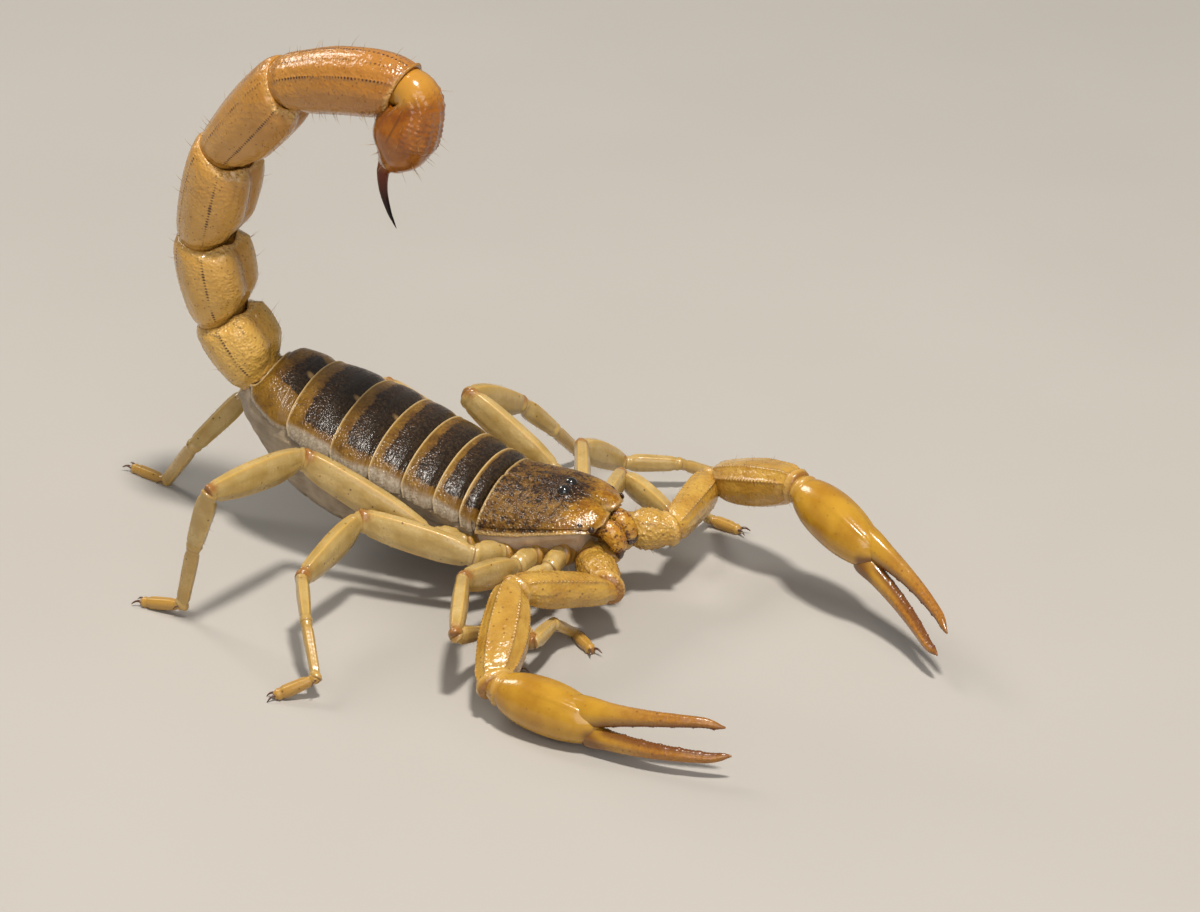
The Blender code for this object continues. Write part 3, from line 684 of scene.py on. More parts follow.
TAIL_LENGTHS = (5.0, 6.4, 7.6, 8.4, 9.8)
TAIL_RISES = (56, 82, 105, 129, 166)
TAIL_LEANS = (-2, -1, 0, -2, -5)
TAIL_WIDTHS = (2.6, 2.65, 2.6, 2.35, 2.0)
TAIL_DEPTHS = (2.35, 2.5, 2.5, 2.35, 2.2)
# Girth at shares of a ring's length, and before and after that at distances in millimetres.
TAIL_SHAPE = (
    (0.0, 0.82), (0.06, 0.87), (0.18, 0.95), (0.4, 1.02),
    (0.65, 1.04), (0.84, 1.0), (0.94, 0.93), (1.0, 0.85),
)
TAIL_BASE = ((-0.8, 0.55), (-0.6, 0.7), (-0.4, 0.78), (-0.2, 0.82), (-0.04, 0.83))
TAIL_LIP = ((-0.1, 0.865), (-0.02, 0.85), (0.02, 0.82), (-0.02, 0.79), (-0.15, 0.75), (-0.4, 0.66))
STING_RISE, STING_LEAN = 269, -9


def tail_look(t):
    """Amber that turns orange towards the sting, with dark beads along the ridges."""
    far, bead, rim = t.painted("far"), t.painted("bead"), t.painted("rim")
    cloud, fine = t.noise(1.8), t.noise(0.25, 3.0, 0.6)
    beads = t.painted("along").wave(0.24)
    light = far.mix((0.66, 0.4, 0.09), (0.36, 0.118, 0.012))
    deep = far.mix((0.52, 0.285, 0.046), (0.26, 0.066, 0.005))
    # painted shade: the colour deepens along the upper furrow and at the ring's base, where the rim of the
    # ring before it shades it
    colour = (cloud * 0.7 + t.painted("hollow") * 0.5).blend(light, deep, 0.25, 0.75)
    # pale rim: the rim's own paler chitin with a painted glint over it, also on the knobs
    colour = rim.mix(colour, (0.66, 0.42, 0.14))
    colour = (t.spots(0.5, 0.1, 0.2) * 0.6).mix(colour, (0.17, 0.055, 0.008))
    beaded = bead * 0.45 + bead * beads * 0.75 - (fine - 0.5) * 0.5
    colour = beaded.blend(colour, (0.075, 0.022, 0.005), 0.3, 0.8)
    colour = t.painted("seam").mix(colour, (0.4, 0.19, 0.032))
    pebbles = t.spots(0.26) * (t.painted("grainy") * 0.03 + rim * 0.12 + 0.008)
    relief = pebbles + bead * beads * 0.05 + fine * 0.012 + t.noise(0.55, 2.0) * 0.11
    return colour, 0.23 + (cloud - 0.5) * 0.16 + (fine - 0.5) * 0.12, relief


tail_shell = chitin("tail_shell_amber", tail_look, glow=0.08, coat=0.35)


def unit(way):
    return way / np.linalg.norm(way)


def chain(root, lengths, ways):
    """The joints of a limb, from its root outwards."""
    joints = [np.array(root, float)]
    for length, way in zip(lengths, ways):
        joints.append(joints[-1] + length * way)
    return joints


def leaning(way, other, most):
    """The way that halves the bend between two, leaning no more than most degrees from the first."""
    half = unit(way + other)
    across = half - way * (half @ way)
    angle = np.arccos(np.clip(half @ way, -1, 1))
    if angle < 1e-4:
        return way
    angle = min(angle, radians(most))
    return way * np.cos(angle) + unit(across) * np.sin(angle)


class Length:
    """One straight length of a limb: its rings of points, with the place of each point on it.

    rows gives for each ring the distance from the start, the half width and the
    half depth. A square below 1 makes the section boxier, and bow bends the middle
    aside. Near both ends the rings slide onto the planes of the joints, which lean
    towards the ways before and after by no more than most degrees.
    """

    def __init__(
        self, start, end, up, rows, columns, square=1.0, before=None, after=None, most=(30, 30), bow=None
    ):
        self.start, self.way, self.length = start, unit(end - start), np.linalg.norm(end - start)
        self.side = unit(np.cross(self.way, up))
        self.over = np.cross(self.side, self.way)
        rows = np.array(rows, float)
        self.at = rows[:, :1] + np.zeros((1, columns))
        self.share = self.at / self.length
        self.turn = np.linspace(-180, 180, columns, endpoint=False)[None] + np.zeros((len(rows), 1))
        across, along = np.cos(np.radians(self.turn)), np.sin(np.radians(self.turn))
        across = np.sign(across) * np.abs(across) ** square
        along = np.sign(along) * np.abs(along) ** square
        self.flat = rows[:, 1:2] * across, rows[:, 2:3] * along
        self.girth = (rows[:, 1:2] + rows[:, 2:3]) / 2
        self.around = np.radians(self.turn) * self.girth
        self.tilts = (
            self.way if before is None else leaning(self.way, before, most[0]),
            self.way if after is None else leaning(self.way, after, most[1]),
        )
        self.bow = bow

    def ridge(self, turn, width):
        """1 along a ridge at that turn, in degrees up from the side."""
        off = (self.turn - turn + 180) % 360 - 180
        return bell(off, width)

    def grains(self, spacing, size, seed):
        return grains(self.around, self.at, spacing, size, seed)

    def swell(self, size, seed):
        return swell(self.around, self.at, size, seed)

    def points(self, lift=0.0, reach_on=0.0):
        """The rings, moved out by lift and on along the length by reach_on."""
        across, along = self.flat
        reach = np.hypot(across, along) + 1e-9
        grow = 1 + lift / reach
        off = (across * grow)[..., None] * self.side + (along * grow)[..., None] * self.over
        slide = 0
        nearness = 1 - step(0.0, 0.4, self.share), step(0.6, 1.0, self.share)
        for tilt, near in zip(self.tilts, nearness):
            slide = slide - (off @ tilt) / (self.way @ tilt) * near
        placed = self.start + off + (self.at + slide + reach_on)[..., None] * self.way
        if self.bow is not None:
            placed = placed + np.sin(np.pi * np.clip(self.share, 0, 1))[..., None] * self.bow
        return placed


def tail_way(rise, lean):
    rise, lean = radians(rise), radians(lean)
    return TRUNK_TURN @ np.array((np.sin(lean), np.cos(rise) * np.cos(lean), np.sin(rise) * np.cos(lean)))


TAIL_WAYS = [tail_way(rise, lean) for rise, lean in zip(TAIL_RISES, TAIL_LEANS)]
TAIL_JOINTS = chain(posed(TAIL_ROOT), TAIL_LENGTHS, TAIL_WAYS)
ACROSS = TRUNK_TURN @ np.array((1.0, 0, 0))
STING_WAY = tail_way(STING_RISE, STING_LEAN)
# Turn of each ridge up from the side, its height in mm, and how dark its beads are.
RING_RIDGES = ((54, 0.15, 0.45), (16, 0.09, 1.0), (-38, 0.1, 0.9), (-72, 0.08, 0.8))
LAST_RIDGES = ((60, 0.06, 0.2), (-30, 0.11, 1.0), (-64, 0.08, 0.75), (-90, 0.07, 0.6))
GRANULAR = (0.9, 0.6, 0.4, 0.3, 0.4)      # how grainy each ring is
tail_lengths = []


def ring_rows(here, length):
    """The rows of one ring, whose base fills the rim of the ring before it, whatever its own girth."""
    body = np.linspace(0.12, length - 0.2, int(length * 11))
    sizes = eased(TAIL_SHAPE, body / length)[:, 0]
    rows = []
    for at, size in [*TAIL_BASE, *zip(body, sizes), *[(length + on, size) for on, size in TAIL_LIP]]:
        own = step(-0.3, 0.24 * length, at)
        wide, deep = (
            girths[here] * own + girths[max(here - 1, 0)] * (1 - own) for girths in (TAIL_WIDTHS, TAIL_DEPTHS)
        )
        rows.append((at, wide * size, deep * size))
    return rows


def build_tail_rings():
    back_end = TRUNK_TURN @ (0, np.cos(BACK_END_TILT), np.sin(BACK_END_TILT))
    for here, length in enumerate(TAIL_LENGTHS):
        last = here == len(TAIL_LENGTHS) - 1
        start, way = TAIL_JOINTS[here], TAIL_WAYS[here]
        before = TAIL_WAYS[here - 1] if here else back_end
        after = STING_WAY if last else TAIL_WAYS[here + 1]
        up, rows = np.cross(ACROSS, way), ring_rows(here, length)
        most, bow = ((9, 34), -0.4 * unit(up)) if last else ((24, 24), None)
        tube = Length(start, start + way * length, up, rows, 176, 0.98, before, after, most, bow)
        inside = np.arange(len(rows))[:, None] + 0 * tube.turn >= len(rows) - 3      # turned in under the rim
        share, turn = tube.share, tube.turn
        rim = bell(tube.at - length + 0.16, 0.13) * (1 - inside)
        on_shell = window(0.0, 0.6, length - 0.5, length - 0.1, tube.at)
        upper = np.clip(np.sin(np.radians(turn)), 0, 1)
        furrow = tube.ridge(90, 19)
        lobes = tube.ridge(58, 22) + tube.ridge(122, 22)
        if last:
            # the last ring stoops at its end, where the bulb hangs
            under = np.clip(-np.sin(np.radians(turn)), 0, 1)
            lift = -0.12 * furrow * on_shell - 0.6 * step(0.7, 1.05, share) * under
            lift = lift - 0.3 * upper * (1 - step(0.0, 0.25, share)) - 0.15 * upper * step(0.75, 1.0, share)
        else:
            lift = 0.22 * lobes * on_shell * (0.3 + 0.7 * share) - (0.15 + 0.2 * share) * furrow * on_shell
            neck = 1 - step(0.0, 0.42, share)
            lift = lift - 0.6 * upper ** 1.3 * neck - 0.05 * neck ** 2
            lift = lift - 0.22 * upper * step(0.88, 1.02, share)
        beads, keels = 0, {90}
        for angle, height, darkness in LAST_RIDGES if last else RING_RIDGES:
            for mirrored in {angle, 180 - angle}:
                keels.add((mirrored + 180) % 360 - 180)
                toothed = tube.ridge(mirrored, 2.8)
                lift = lift + height * on_shell * (0.6 * tube.ridge(mirrored, 7) + 0.4 * toothed)
                uneven = 0.7 + 0.45 * swell(tube.at, mirrored, 0.4, here)
                beads = beads + darkness * toothed * on_shell * uneven
        # knobs at the rim's keel ends: raised bumps, also given a painted glint through the rim paint
        knobs = 0
        if not last:
            for angle in (54, 16, 126, 164):
                knobs = knobs + tube.ridge(angle, 9) * bell(tube.at - length + 0.32, 0.22)
        # the faces between the ridges swell out a little
        keels = sorted(keels)
        ring = np.array([keels[-1] - 360, *keels, keels[0] + 360], float)
        faces = 0.13 * np.abs(np.sin(np.pi * np.interp(turn, ring, np.arange(len(ring))))) * on_shell
        overhang = 0 if last else (0.3 * lobes - 0.12 + 0.1 * tube.ridge(-90, 40)) * step(0.8, 1.0, share)
        coarse = tube.grains(0.4, 0.14, here + 11)
        # painted shade at the ring's front, which sits under the rim of the ring before it
        low_front = (1 - step(0.0, 0.9, tube.at)) * 0.5
        lift = lift + faces + 0.03 * GRANULAR[here] * coarse * on_shell + 0.035 * tube.swell(1.2, here)
        lift = lift + 0.05 * rim + 0.14 * knobs + 0.025 * np.cos(np.radians(turn * 24)) * rim
        # pale rim, partly paler chitin and partly a painted glint that is brighter on the upper half
        rim_with_glint = (0.95 if last else 0.55) * rim * (0.6 + 0.4 * np.sin(np.radians(turn)))
        shell = Shell()
        tube.surface = tube.points(lift * (1 - inside), overhang)
        shell.grid(
            tube.surface, along=tube.at, across=tube.around, far=(here + share) / 6,
            # hollow carries painted shade: the furrow and the ring's front are coloured deeper
            bead=np.clip(beads, 0, 1), hollow=0.8 * furrow + low_front, grainy=GRANULAR[here],
            # rim carries the pale rim and the painted glint on it and on the knobs
            rim=np.clip(rim_with_glint + 0.5 * knobs, 0, 0.9),
            seam=np.clip(1 - step(-0.25, 0.02, tube.at) + inside, 0, 1),
        )
        shell.make(f"tail_ring_{here + 1}", [tail_shell], "tail_shell", f"tail_{here + 1}")
        tail_lengths.append(tube)


build_tail_rings()

# Sting: a swollen bulb of thinner, glossy shell that runs out into a curved
# needle of dark horn. The bulb hangs from the last ring by a short neck.

# Down the bulb's middle line: distance along the sting's way, offset outwards, radius.
VESICLE_SHAPE = (
    (0.1, -1.1, 1.2), (-0.05, -0.1, 1.42), (0.2, 0.68, 1.62), (1.0, 1.0, 1.8), (2.05, 0.68, 2.12),
    (3.2, 0.2, 2.28), (4.3, -0.2, 1.95), (5.1, -0.7, 1.35), (5.6, -1.15, 0.8),
)
STING_SHAPE = (
    (5.3, -0.9, 0.85), (5.9, -1.28, 0.58), (6.5, -1.46, 0.42), (7.7, -1.36, 0.29), (9.0, -0.92, 0.17),
    (9.8, -0.5, 0.08), (10.2, -0.26, 0.02),
)
STING_LENGTH = STING_SHAPE[-1][0]
BULB_RIDGES = np.linspace(-1.35, 1.35, 8)


def sting_look(t):
    """Orange-brown bulb that darkens into a black-brown needle."""
    down = t.painted("down")
    cloud, fine = t.noise(1.1), t.noise(0.2, 2.0)
    bulb = cloud.blend((0.35, 0.112, 0.007), (0.22, 0.058, 0.003), 0.3, 0.72)
    colour = t.painted("neck").mix(bulb, (0.5, 0.235, 0.03))
    needle = down.blend((0.12, 0.016, 0.002), (0.008, 0.002, 0.001), 0.58, 0.88)
    colour = down.blend(colour, needle, 0.5, 0.62)
    colour = (t.painted("line") * 0.8).mix(colour, (0.1, 0.035, 0.012))
    specks = t.spots(0.5, 0.06, 0.12) * (1 - down.between(0.4, 0.5)) * 0.5
    colour = specks.mix(colour, (0.14, 0.05, 0.015))
    return colour, 0.12 + cloud * 0.06, t.painted("grainy") * t.spots(0.3) * 0.03 + fine * 0.01


sting_shell = chitin("sting_shell_orange", sting_look, glow=0.04, coat=0.4, shine=0.45)
needle_shell = chitin("sting_needle_black", sting_look, glow=0.0, coat=0.08, shine=0.3)


def tube_along(middles, wide, deep, up, columns):
    """Rings of those half widths and depths square to a line, with their outward ways and turns."""
    ways = np.gradient(middles, axis=0)
    ways /= np.linalg.norm(ways, axis=1, keepdims=True)
    sides = np.cross(ways, up)
    sides /= np.linalg.norm(sides, axis=1, keepdims=True)
    overs = np.cross(sides, ways)
    turn = np.linspace(-np.pi, np.pi, columns, endpoint=False)
    off = (wide[:, None] * np.cos(turn))[..., None] * sides[:, None]
    off = off + (deep[:, None] * np.sin(turn))[..., None] * overs[:, None]
    return middles[:, None] + off, off / (np.linalg.norm(off, axis=-1, keepdims=True) + 1e-9), turn[None]


def spaced(stations, count):
    """Evenly spaced steps from the first station to the last, and the smooth values there."""
    stations = np.array(stations, float)
    place = np.linspace(0, len(stations) - 1, count)
    return place, eased(np.column_stack([np.arange(len(stations)), stations]), place).T


bulb_surface = []


def build_sting():
    inward = np.cross(ACROSS, STING_WAY)
    root = TAIL_JOINTS[-1]
    for name, shape, node, count, columns in (
        ("sting_bulb", VESICLE_SHAPE, "vesicle", 100, 150), ("sting_needle", STING_SHAPE, "sting", 110, 40),
    ):
        place, (along, off, radius) = spaced(shape, count)
        middles = root + along[:, None] * STING_WAY - off[:, None] * inward
        # turn 0 is the outer side of the bend
        rings, out, turn = tube_along(middles, radius, radius, ACROSS, columns)
        along = along[:, None] + 0 * turn
        place = place[:, None] + 0 * turn
        lift, grainy, line = 0 * along, 0 * along, 0 * along
        if node == "vesicle":
            wave = np.cos(2 * np.pi * place / 0.3)
            ridges = sum(bell((turn - at + np.pi) % (2 * np.pi) - np.pi, 0.11) for at in BULB_RIDGES)
            grainy = window(1.9, 2.6, 4.6, 6.0, place) * np.clip(np.cos(turn) + 0.5, 0, 1)
            lift = grainy * ridges * (0.07 + 0.045 * wave) + 0.02 * swell(turn * 2, place, 0.8, 2)
            line = sum(bell(turn - at, 0.035) for at in (-1.75, 1.75)) * window(3.2, 3.7, 4.8, 5.6, place)
            bulb_surface.extend(((rings + lift[..., None] * out)[24:88], out[24:88]))
        shell = Shell()
        shell.grid(
            rings + lift[..., None] * out, down=along / STING_LENGTH, grainy=grainy, line=line,
            neck=(1 - step(1.9, 3.0, place)) * (node == "vesicle"), across=turn * 2, along=along,
        )
        if node == "sting":
            shell.make(name, [needle_shell], "sting_horn", node)
        else:
            shell.make(name, [sting_shell], "tail_shell", node)


build_sting()

# Pincer arms: three keeled lengths from the head to the wrist, then a smooth
# swollen palm with one fixed and one hinged finger, all of glossy ochre chitin.

PALP_ROOT = np.array((2.4, -8.7, -3.0))
# Trochanter, femur, patella, palm, fixed finger, moving finger: lengths, then swing and rise in degrees.
PALP_LENGTHS = (3.2, 7.6, 8.7, 7.9, 9.3, 9.7)
PALP_ANGLES = {
    "right": ((38, -20), (-34, 13), (18, -21), (84, -4), (98, 12), (94, -2)),
    "left": ((68, -8), (-2, 4), (110, 17), (115, -16), (120, -12), (125, -25)),
}
# Along the trochanter, femur and patella: share of the length, half width, half depth.
PALP_SHAPES = (
    ((0.0, 1.22, 1.3), (0.45, 1.4, 1.48), (1.0, 1.1, 1.15)),
    ((0.0, 0.8, 0.85), (0.25, 1.08, 1.12), (0.7, 1.18, 1.22), (1.0, 0.92, 0.96)),
    ((0.0, 0.85, 0.95), (0.2, 1.42, 1.38), (0.55, 1.7, 1.66), (0.85, 1.42, 1.4), (1.0, 1.05, 1.05)),
)
# Turn and height of each ridge of the trochanter, femur and patella.
PALP_RIDGES = (
    ((40, 0.05), (140, 0.05)),
    ((48, 0.12), (132, 0.12), (-48, 0.12), (-132, 0.1)),
    ((62, 0.1), (22, 0.11), (118, 0.1), (158, 0.11), (-45, 0.1), (-135, 0.1), (-90, 0.06)),
)
# Along the palm: share of its length, half width, half depth, offset towards the fixed finger.
PALM_SHAPE = (
    (-0.06, 0.7, 0.7, 0.0), (0.06, 1.15, 1.15, 0.0), (0.3, 1.7, 1.75, 0.0), (0.6, 1.75, 1.88, 0.0),
    (0.86, 1.4, 1.6, 0.02), (1.0, 0.95, 1.2, 0.12), (1.07, 0.4, 0.6, 0.2),
)
FIXED_FINGER = ((0.0, 1.2), (0.14, 1.08), (0.28, 0.82), (0.5, 0.58), (0.75, 0.42), (0.92, 0.29), (1.0, 0.07))
MOVING_FINGER = (
    (0.0, 0.4), (0.03, 0.72), (0.08, 0.84), (0.2, 0.7), (0.5, 0.55), (0.8, 0.4), (0.94, 0.27), (1.0, 0.06),
)
FIXED_FINGER_RISE, MOVING_FINGER_DROP = 0.45, 1.05
FINGER_BOW, FINGER_LIFT = 0.8, 0.1


def palp_look(t):
    """Ochre shell, smooth on the palm, with browner fingers and pale beads, partly painted glints, in a brown
    line on the ridges.
    """
    bead, palmar = t.painted("bead"), t.painted("palm")
    cloud, fine = t.noise(2.2), t.noise(0.25, 3.0, 0.6)
    arm = cloud.blend((0.54, 0.315, 0.055), (0.4, 0.2, 0.025))
    palm = cloud.blend((0.5, 0.265, 0.02), (0.38, 0.175, 0.009), 0.3, 0.72)
    colour = palmar.mix(arm, palm)
    finger = fine.blend((0.38, 0.16, 0.015), (0.28, 0.1, 0.009))
    colour = t.coated(colour, tip=finger, rim=(0.62, 0.38, 0.11))
    specks = t.spots(0.6, 0.09, 0.18) * (1 - palmar * 0.5) * 0.65
    colour = specks.mix(colour, (0.15, 0.055, 0.01))
    beads = t.painted("along").wave(0.3)
    colour = (bead * 0.55).mix(colour, (0.3, 0.125, 0.02))
    # pale beads: paler granules on the ridges, partly painted glints on them
    colour = (bead * beads * 1.3 - fine * 0.7 + 0.1).blend(colour, (0.66, 0.45, 0.17), 0.1, 0.9)
    colour = t.coated(colour, edge=(0.13, 0.038, 0.008), seam=(0.27, 0.11, 0.02))
    pebbles = t.spots(0.25) * t.painted("grainy")
    dents = t.noise(0.6, 2.0) * (1 - palmar * 0.8)
    relief = pebbles * 0.04 + bead * beads * 0.07 + fine * 0.012 + dents * 0.09
    return colour, 0.26 + (cloud - 0.5) * 0.12 - palmar * 0.05 + (fine - 0.5) * 0.08, relief


palp_shell = chitin("palp_shell_ochre", palp_look, glow=0.08, coat=0.4)


def direction(swing, rise, side):
    """A way in the posed frame: swing turns forward from straight out, rise turns up."""
    swing, rise = radians(swing), radians(rise)
    return np.array((side * np.cos(swing) * np.cos(rise), -np.sin(swing) * np.cos(rise), np.sin(rise)))


def level_up(way):
    """Straight up, or along y for a length that stands upright."""
    return np.array((0, 0, 1.0)) if abs(way[2]) < 0.9 else np.array((0, 1.0, 0))


def knobbed(joints, shape, caps, count, columns, square=1.0, up=None, **bends):
    """A length between two joints, with its ends rounded off over the distances in caps."""
    start, end = joints
    length = np.linalg.norm(end - start)
    body = np.linspace(0, length, count or int(length * 9))
    sizes = eased(shape, body / length)
    angles = np.radians(np.linspace(12, 80, 6))
    near = [(-caps[0] * np.sin(angle), *(sizes[0] * np.cos(angle))) for angle in angles[::-1]]
    far = [(length + caps[1] * np.sin(angle), *(sizes[-1] * np.cos(angle))) for angle in angles]
    rows = [*near, *[(at, *size) for at, size in zip(body, sizes)], *far]
    if up is None:
        up = level_up(unit(end - start))
    return Length(start, end, up, rows, columns, square, **bends)


# How far each arm's first joint is moved from its root, to seat in its hard base.
PALP_TUCK = {"right": np.array((0.1, 0.5, -0.8)), "left": np.array((0, -0.1, -0.6))}
palp_lengths = {}


def arm_length(shell, name, here, joints, before, after):
    """Trochanter, femur or patella of a pincer arm."""
    bends = {"before": before, "after": after, "most": (28, 28)}
    square, cap = (0.9, 0.45) if here else (1.0, 1.0)
    tube = knobbed(joints, PALP_SHAPES[here], (cap, 0.4), None, 128, square, **bends)
    length = tube.length
    on_shell = window(0.2, 0.9, length - 0.8, length - 0.15, tube.at)
    lift, beads = 0, 0
    for turn, height in PALP_RIDGES[here]:
        lift = lift + on_shell * height * (0.7 * tube.ridge(turn, 9) + 0.5 * tube.ridge(turn, 4))
        uneven = 0.75 + 0.4 * swell(tube.at, turn, 0.5, here)
        beads = beads + tube.ridge(turn, 3.6) * on_shell * uneven
    hoop = bell(tube.at - length + 0.22, 0.16)
    waist = bell(tube.at - length + 0.62, 0.25) + bell(tube.at - 0.35, 0.3)
    coarse = tube.grains(0.45, 0.16, here + 41)
    granular = (1.3, 0.6, 0.3)[here]
    lift = lift + granular * 0.07 * coarse * on_shell + 0.09 * hoop - 0.09 * waist
    lift = lift + 0.05 * tube.swell(1.3, here + 3)
    tube.surface = tube.points(lift)
    seam = 1 - step(-0.1, 0.12, tube.at) + step(length + 0.02, length + 0.2, tube.at)
    shell.grid(
        tube.surface, along=tube.at, across=tube.around, bead=np.clip(beads, 0, 1), rim=0.6 * hoop,
        grainy=granular, seam=np.clip(seam, 0, 1) * 0.8,
    )
    palp_lengths[name, here] = tube


def add_finger(shell, start, tip, bow, spread, inward, sizes, bare, dark, heel=0.0):
    """A bowed, tapering finger with a row of fine teeth along its inner edge and a hooked tip.

    bare and dark give the shares of its length over which the palm's finish ends
    and the browner finish sets in, and heel how dark its base is.
    """
    share = np.linspace(0, 1, 150)
    onward = tip - start
    middles = start + share[:, None] * onward + np.sin(np.pi * share)[:, None] * bow
    middles = middles + (step(0.8, 1.0, share) ** 2 * 0.28)[:, None] * inward
    deep = eased(sizes, share)[:, 0]
    rings, out, turn = tube_along(middles, deep * 0.86, deep, spread, 44)
    length = np.linalg.norm(onward)
    inner = np.clip(np.einsum("rck,k->rc", out, inward), 0, 1)
    at = share[:, None] + 0 * turn
    wave = 0.5 + 0.5 * np.cos(2 * np.pi * at * length / 0.24)
    large = bell((at * 8) % 1 - 0.5, 0.12)
    cover = window(0.12, 0.2, 0.93, 0.99, at)
    tooth = step(0.9, 0.995, inner) * cover * (0.05 * wave + 0.07 * large)
    ridges = 0.018 * np.cos(turn * 6) * (1 - step(0.85, 0.98, at))
    dark_base = heel * (1 - step(0.1, 0.24, at + 0.08 * np.sin(turn)))
    edge = 0.85 * cover * step(0.3, 0.9, inner) + dark_base + 0.5 * step(0.9, 1.0, at)
    shell.grid(
        rings + (tooth + ridges)[..., None] * out, palm=1 - step(*bare, at), tip=step(*dark, at),
        edge=np.clip(edge, 0, 1), along=at * 9, across=turn,
    )


def build_hand(name, joints, fixed, moving):
    """The palm with its fixed finger, and the moving finger hinged beside it."""
    wrist, hinge = joints[-2:]
    way, length = unit(hinge - wrist), np.linalg.norm(hinge - wrist)
    spread = fixed - moving
    spread = unit(spread - way * (spread @ way))
    outward = np.cross(way, spread)
    if outward[0] * SIDES[name] < 0:
        outward = -outward
    share = np.concatenate([np.linspace(-0.09, 0.05, 8), np.linspace(0.065, 1.07, 100)])
    wide, deep, aside = eased(PALM_SHAPE, share).T
    stub = np.sqrt(np.clip((share + 0.092) / 0.05, 0.02, 1))
    middles = wrist + share[:, None] * length * way + aside[:, None] * spread
    rings, out, turn = tube_along(middles, wide * stub, deep * stub, spread, 132)
    share = share[:, None] + 0 * turn
    ridges = sum(bell(np.cos(turn - at) - 1, 0.006) for at in (0.7, 1.9, 2.75)) * step(0.25, 0.5, share)
    collar = bell(share - 0.055, 0.018)
    lift = 0.045 * ridges + 0.07 * collar - 0.08 * bell(share - 0.1, 0.022)
    lift = lift + 0.035 * swell(turn * 2, share * 8, 1.2, 6)
    hand = Shell()
    hand.grid(
        rings + lift[..., None] * out, palm=step(0.05, 0.15, share), rim=0.4 * collar,
        edge=0.85 * step(0.93, 1.0, share) * step(-0.1, 0.6, -np.sin(turn)), grainy=0.05,
        seam=0.75 * (1 - step(-0.05, 0.0, share)), along=share * length, across=turn * 1.6,
    )
    start = hinge + spread * FIXED_FINGER_RISE - way * 1.9
    bow = outward * FINGER_BOW + spread * FINGER_LIFT
    add_finger(hand, start, fixed, bow, spread, -spread, FIXED_FINGER, (0.2, 0.5), (0.15, 0.75))
    hand.make(f"palm_{name}", [palp_shell], "claw_shell", f"palp_hand_{name}")

    finger = Shell()
    start = hinge - spread * (MOVING_FINGER_DROP - 0.3) - way * 0.75
    bow = outward * FINGER_BOW - spread * FINGER_LIFT
    add_finger(finger, start, moving, bow, spread, spread, MOVING_FINGER, (0.1, 0.4), (0.1, 0.6), 0.8)
    finger.make(f"finger_{name}", [palp_shell], "claw_shell", f"palp_finger_{name}")


def build_pincers():
    for name, side in SIDES.items():
        root = posed(PALP_ROOT * (side, 1, 1))
        ways = [direction(swing, rise, side) for swing, rise in PALP_ANGLES[name]]
        joints = chain(root, PALP_LENGTHS[:4], ways[:4])
        joints[0] = root + PALP_TUCK[name]
        tips = [joints[-1] + length * way for length, way in zip(PALP_LENGTHS[4:], ways[4:])]
        for here, title in enumerate(("trochanter", "femur", "patella")):
            shell = Shell()
            before = ways[here - 1] if here else None
            arm_length(shell, name, here, joints[here:here + 2], before, ways[here + 1])
            shell.make(f"arm_{title}_{name}", [palp_shell], "claw_shell", f"palp_{title}_{name}")
        build_hand(name, joints, *tips)


build_pincers()

# Legs: eight, each of a short trochanter, a flattened femur, a swollen patella,
# and a slim lower leg and foot with two claws. The shell is thin pale chitin
# with raised edges, browner at the knees.

LEG_ROOTS = ((2.9, -6.0, -3.3), (3.7, -4.3, -3.5), (4.3, -2.2, -3.6), (4.6, 0.6, -3.5))
# Each leg's six lengths, front leg first, then the swing and rise of the first five and the foot's swing.
LEG_LENGTHS = (
    (1.8, 5.3, 5.4, 3.7, 3.5, 2.6),
    (2.0, 6.6, 6.4, 4.3, 4.1, 2.8),
    (2.5, 8.4, 7.1, 4.7, 4.4, 3.0),
    (2.5, 10.6, 10.3, 5.7, 5.4, 3.3),
)
LEG_ANGLES = {
    "right": (
        ((2, -14), (-21, -17), (56, 1), (184, -5), (176, -36), 54),
        ((-11, -5), (-8, 14), (23, -7), (184, -24), (182, -43), 60),
        ((-29, 10), (-77, 12), (-7, -14), (33, -12), (39, -31), -59),
        ((-60, 12), (-78, 28), (-9, 7), (-121, -65), (-114, -73), -91),
    ),
    "left": (
        ((-6, -5), (-12, -4), (110, -13), (0, -16), (0, -36), 94),
        ((-19, -5), (-27, 3), (9, -31), (61, -2), (49, -22), 49),
        ((-30, 6), (-92, 34), (11, -25), (20, -43), (7, -43), 68),
        ((-72, 3), (-83, 20), (-115, -5), (-122, -46), (-66, -50), -79),
    ),
}
LEG_DEPTHS = (0.92, 1.0, 1.15, 1.2)         # depth of each leg down to its last joint, front leg first
FOOT_HEIGHT = 0.3
FOOT_BROWN = (0, 0, 0, 0.1, 0.35, 0.9)      # how far each length has the foot's brown


def leg_look(t):
    """Pale honey shell, amber along its raised edges, with brown knees and a few dark flecks."""
    cloud, fine = t.noise(1.6), t.noise(0.22, 3.0, 0.6)
    pale = cloud.blend((0.53, 0.375, 0.145), (0.42, 0.27, 0.075))
    colour = t.coated(pale, foot=(0.42, 0.22, 0.035), edge=(0.6, 0.36, 0.07))
    colour = (t.painted("knee") * 1.2 - (fine - 0.5) * 0.6).blend(colour, (0.3, 0.12, 0.022), 0.2, 1.0)
    colour = (t.spots(0.8, 0.06, 0.13) * 0.8).mix(colour, (0.1, 0.045, 0.012))
    colour = t.coated(colour, seam=(0.2, 0.08, 0.018))
    relief = t.spots(0.3) * 0.008 + fine * 0.012 + cloud * 0.03
    return colour, 0.29 + (cloud - 0.5) * 0.12 + (fine - 0.5) * 0.08, relief


leg_shell = chitin("leg_shell_honey", leg_look, glow=0.12, coat=0.35)

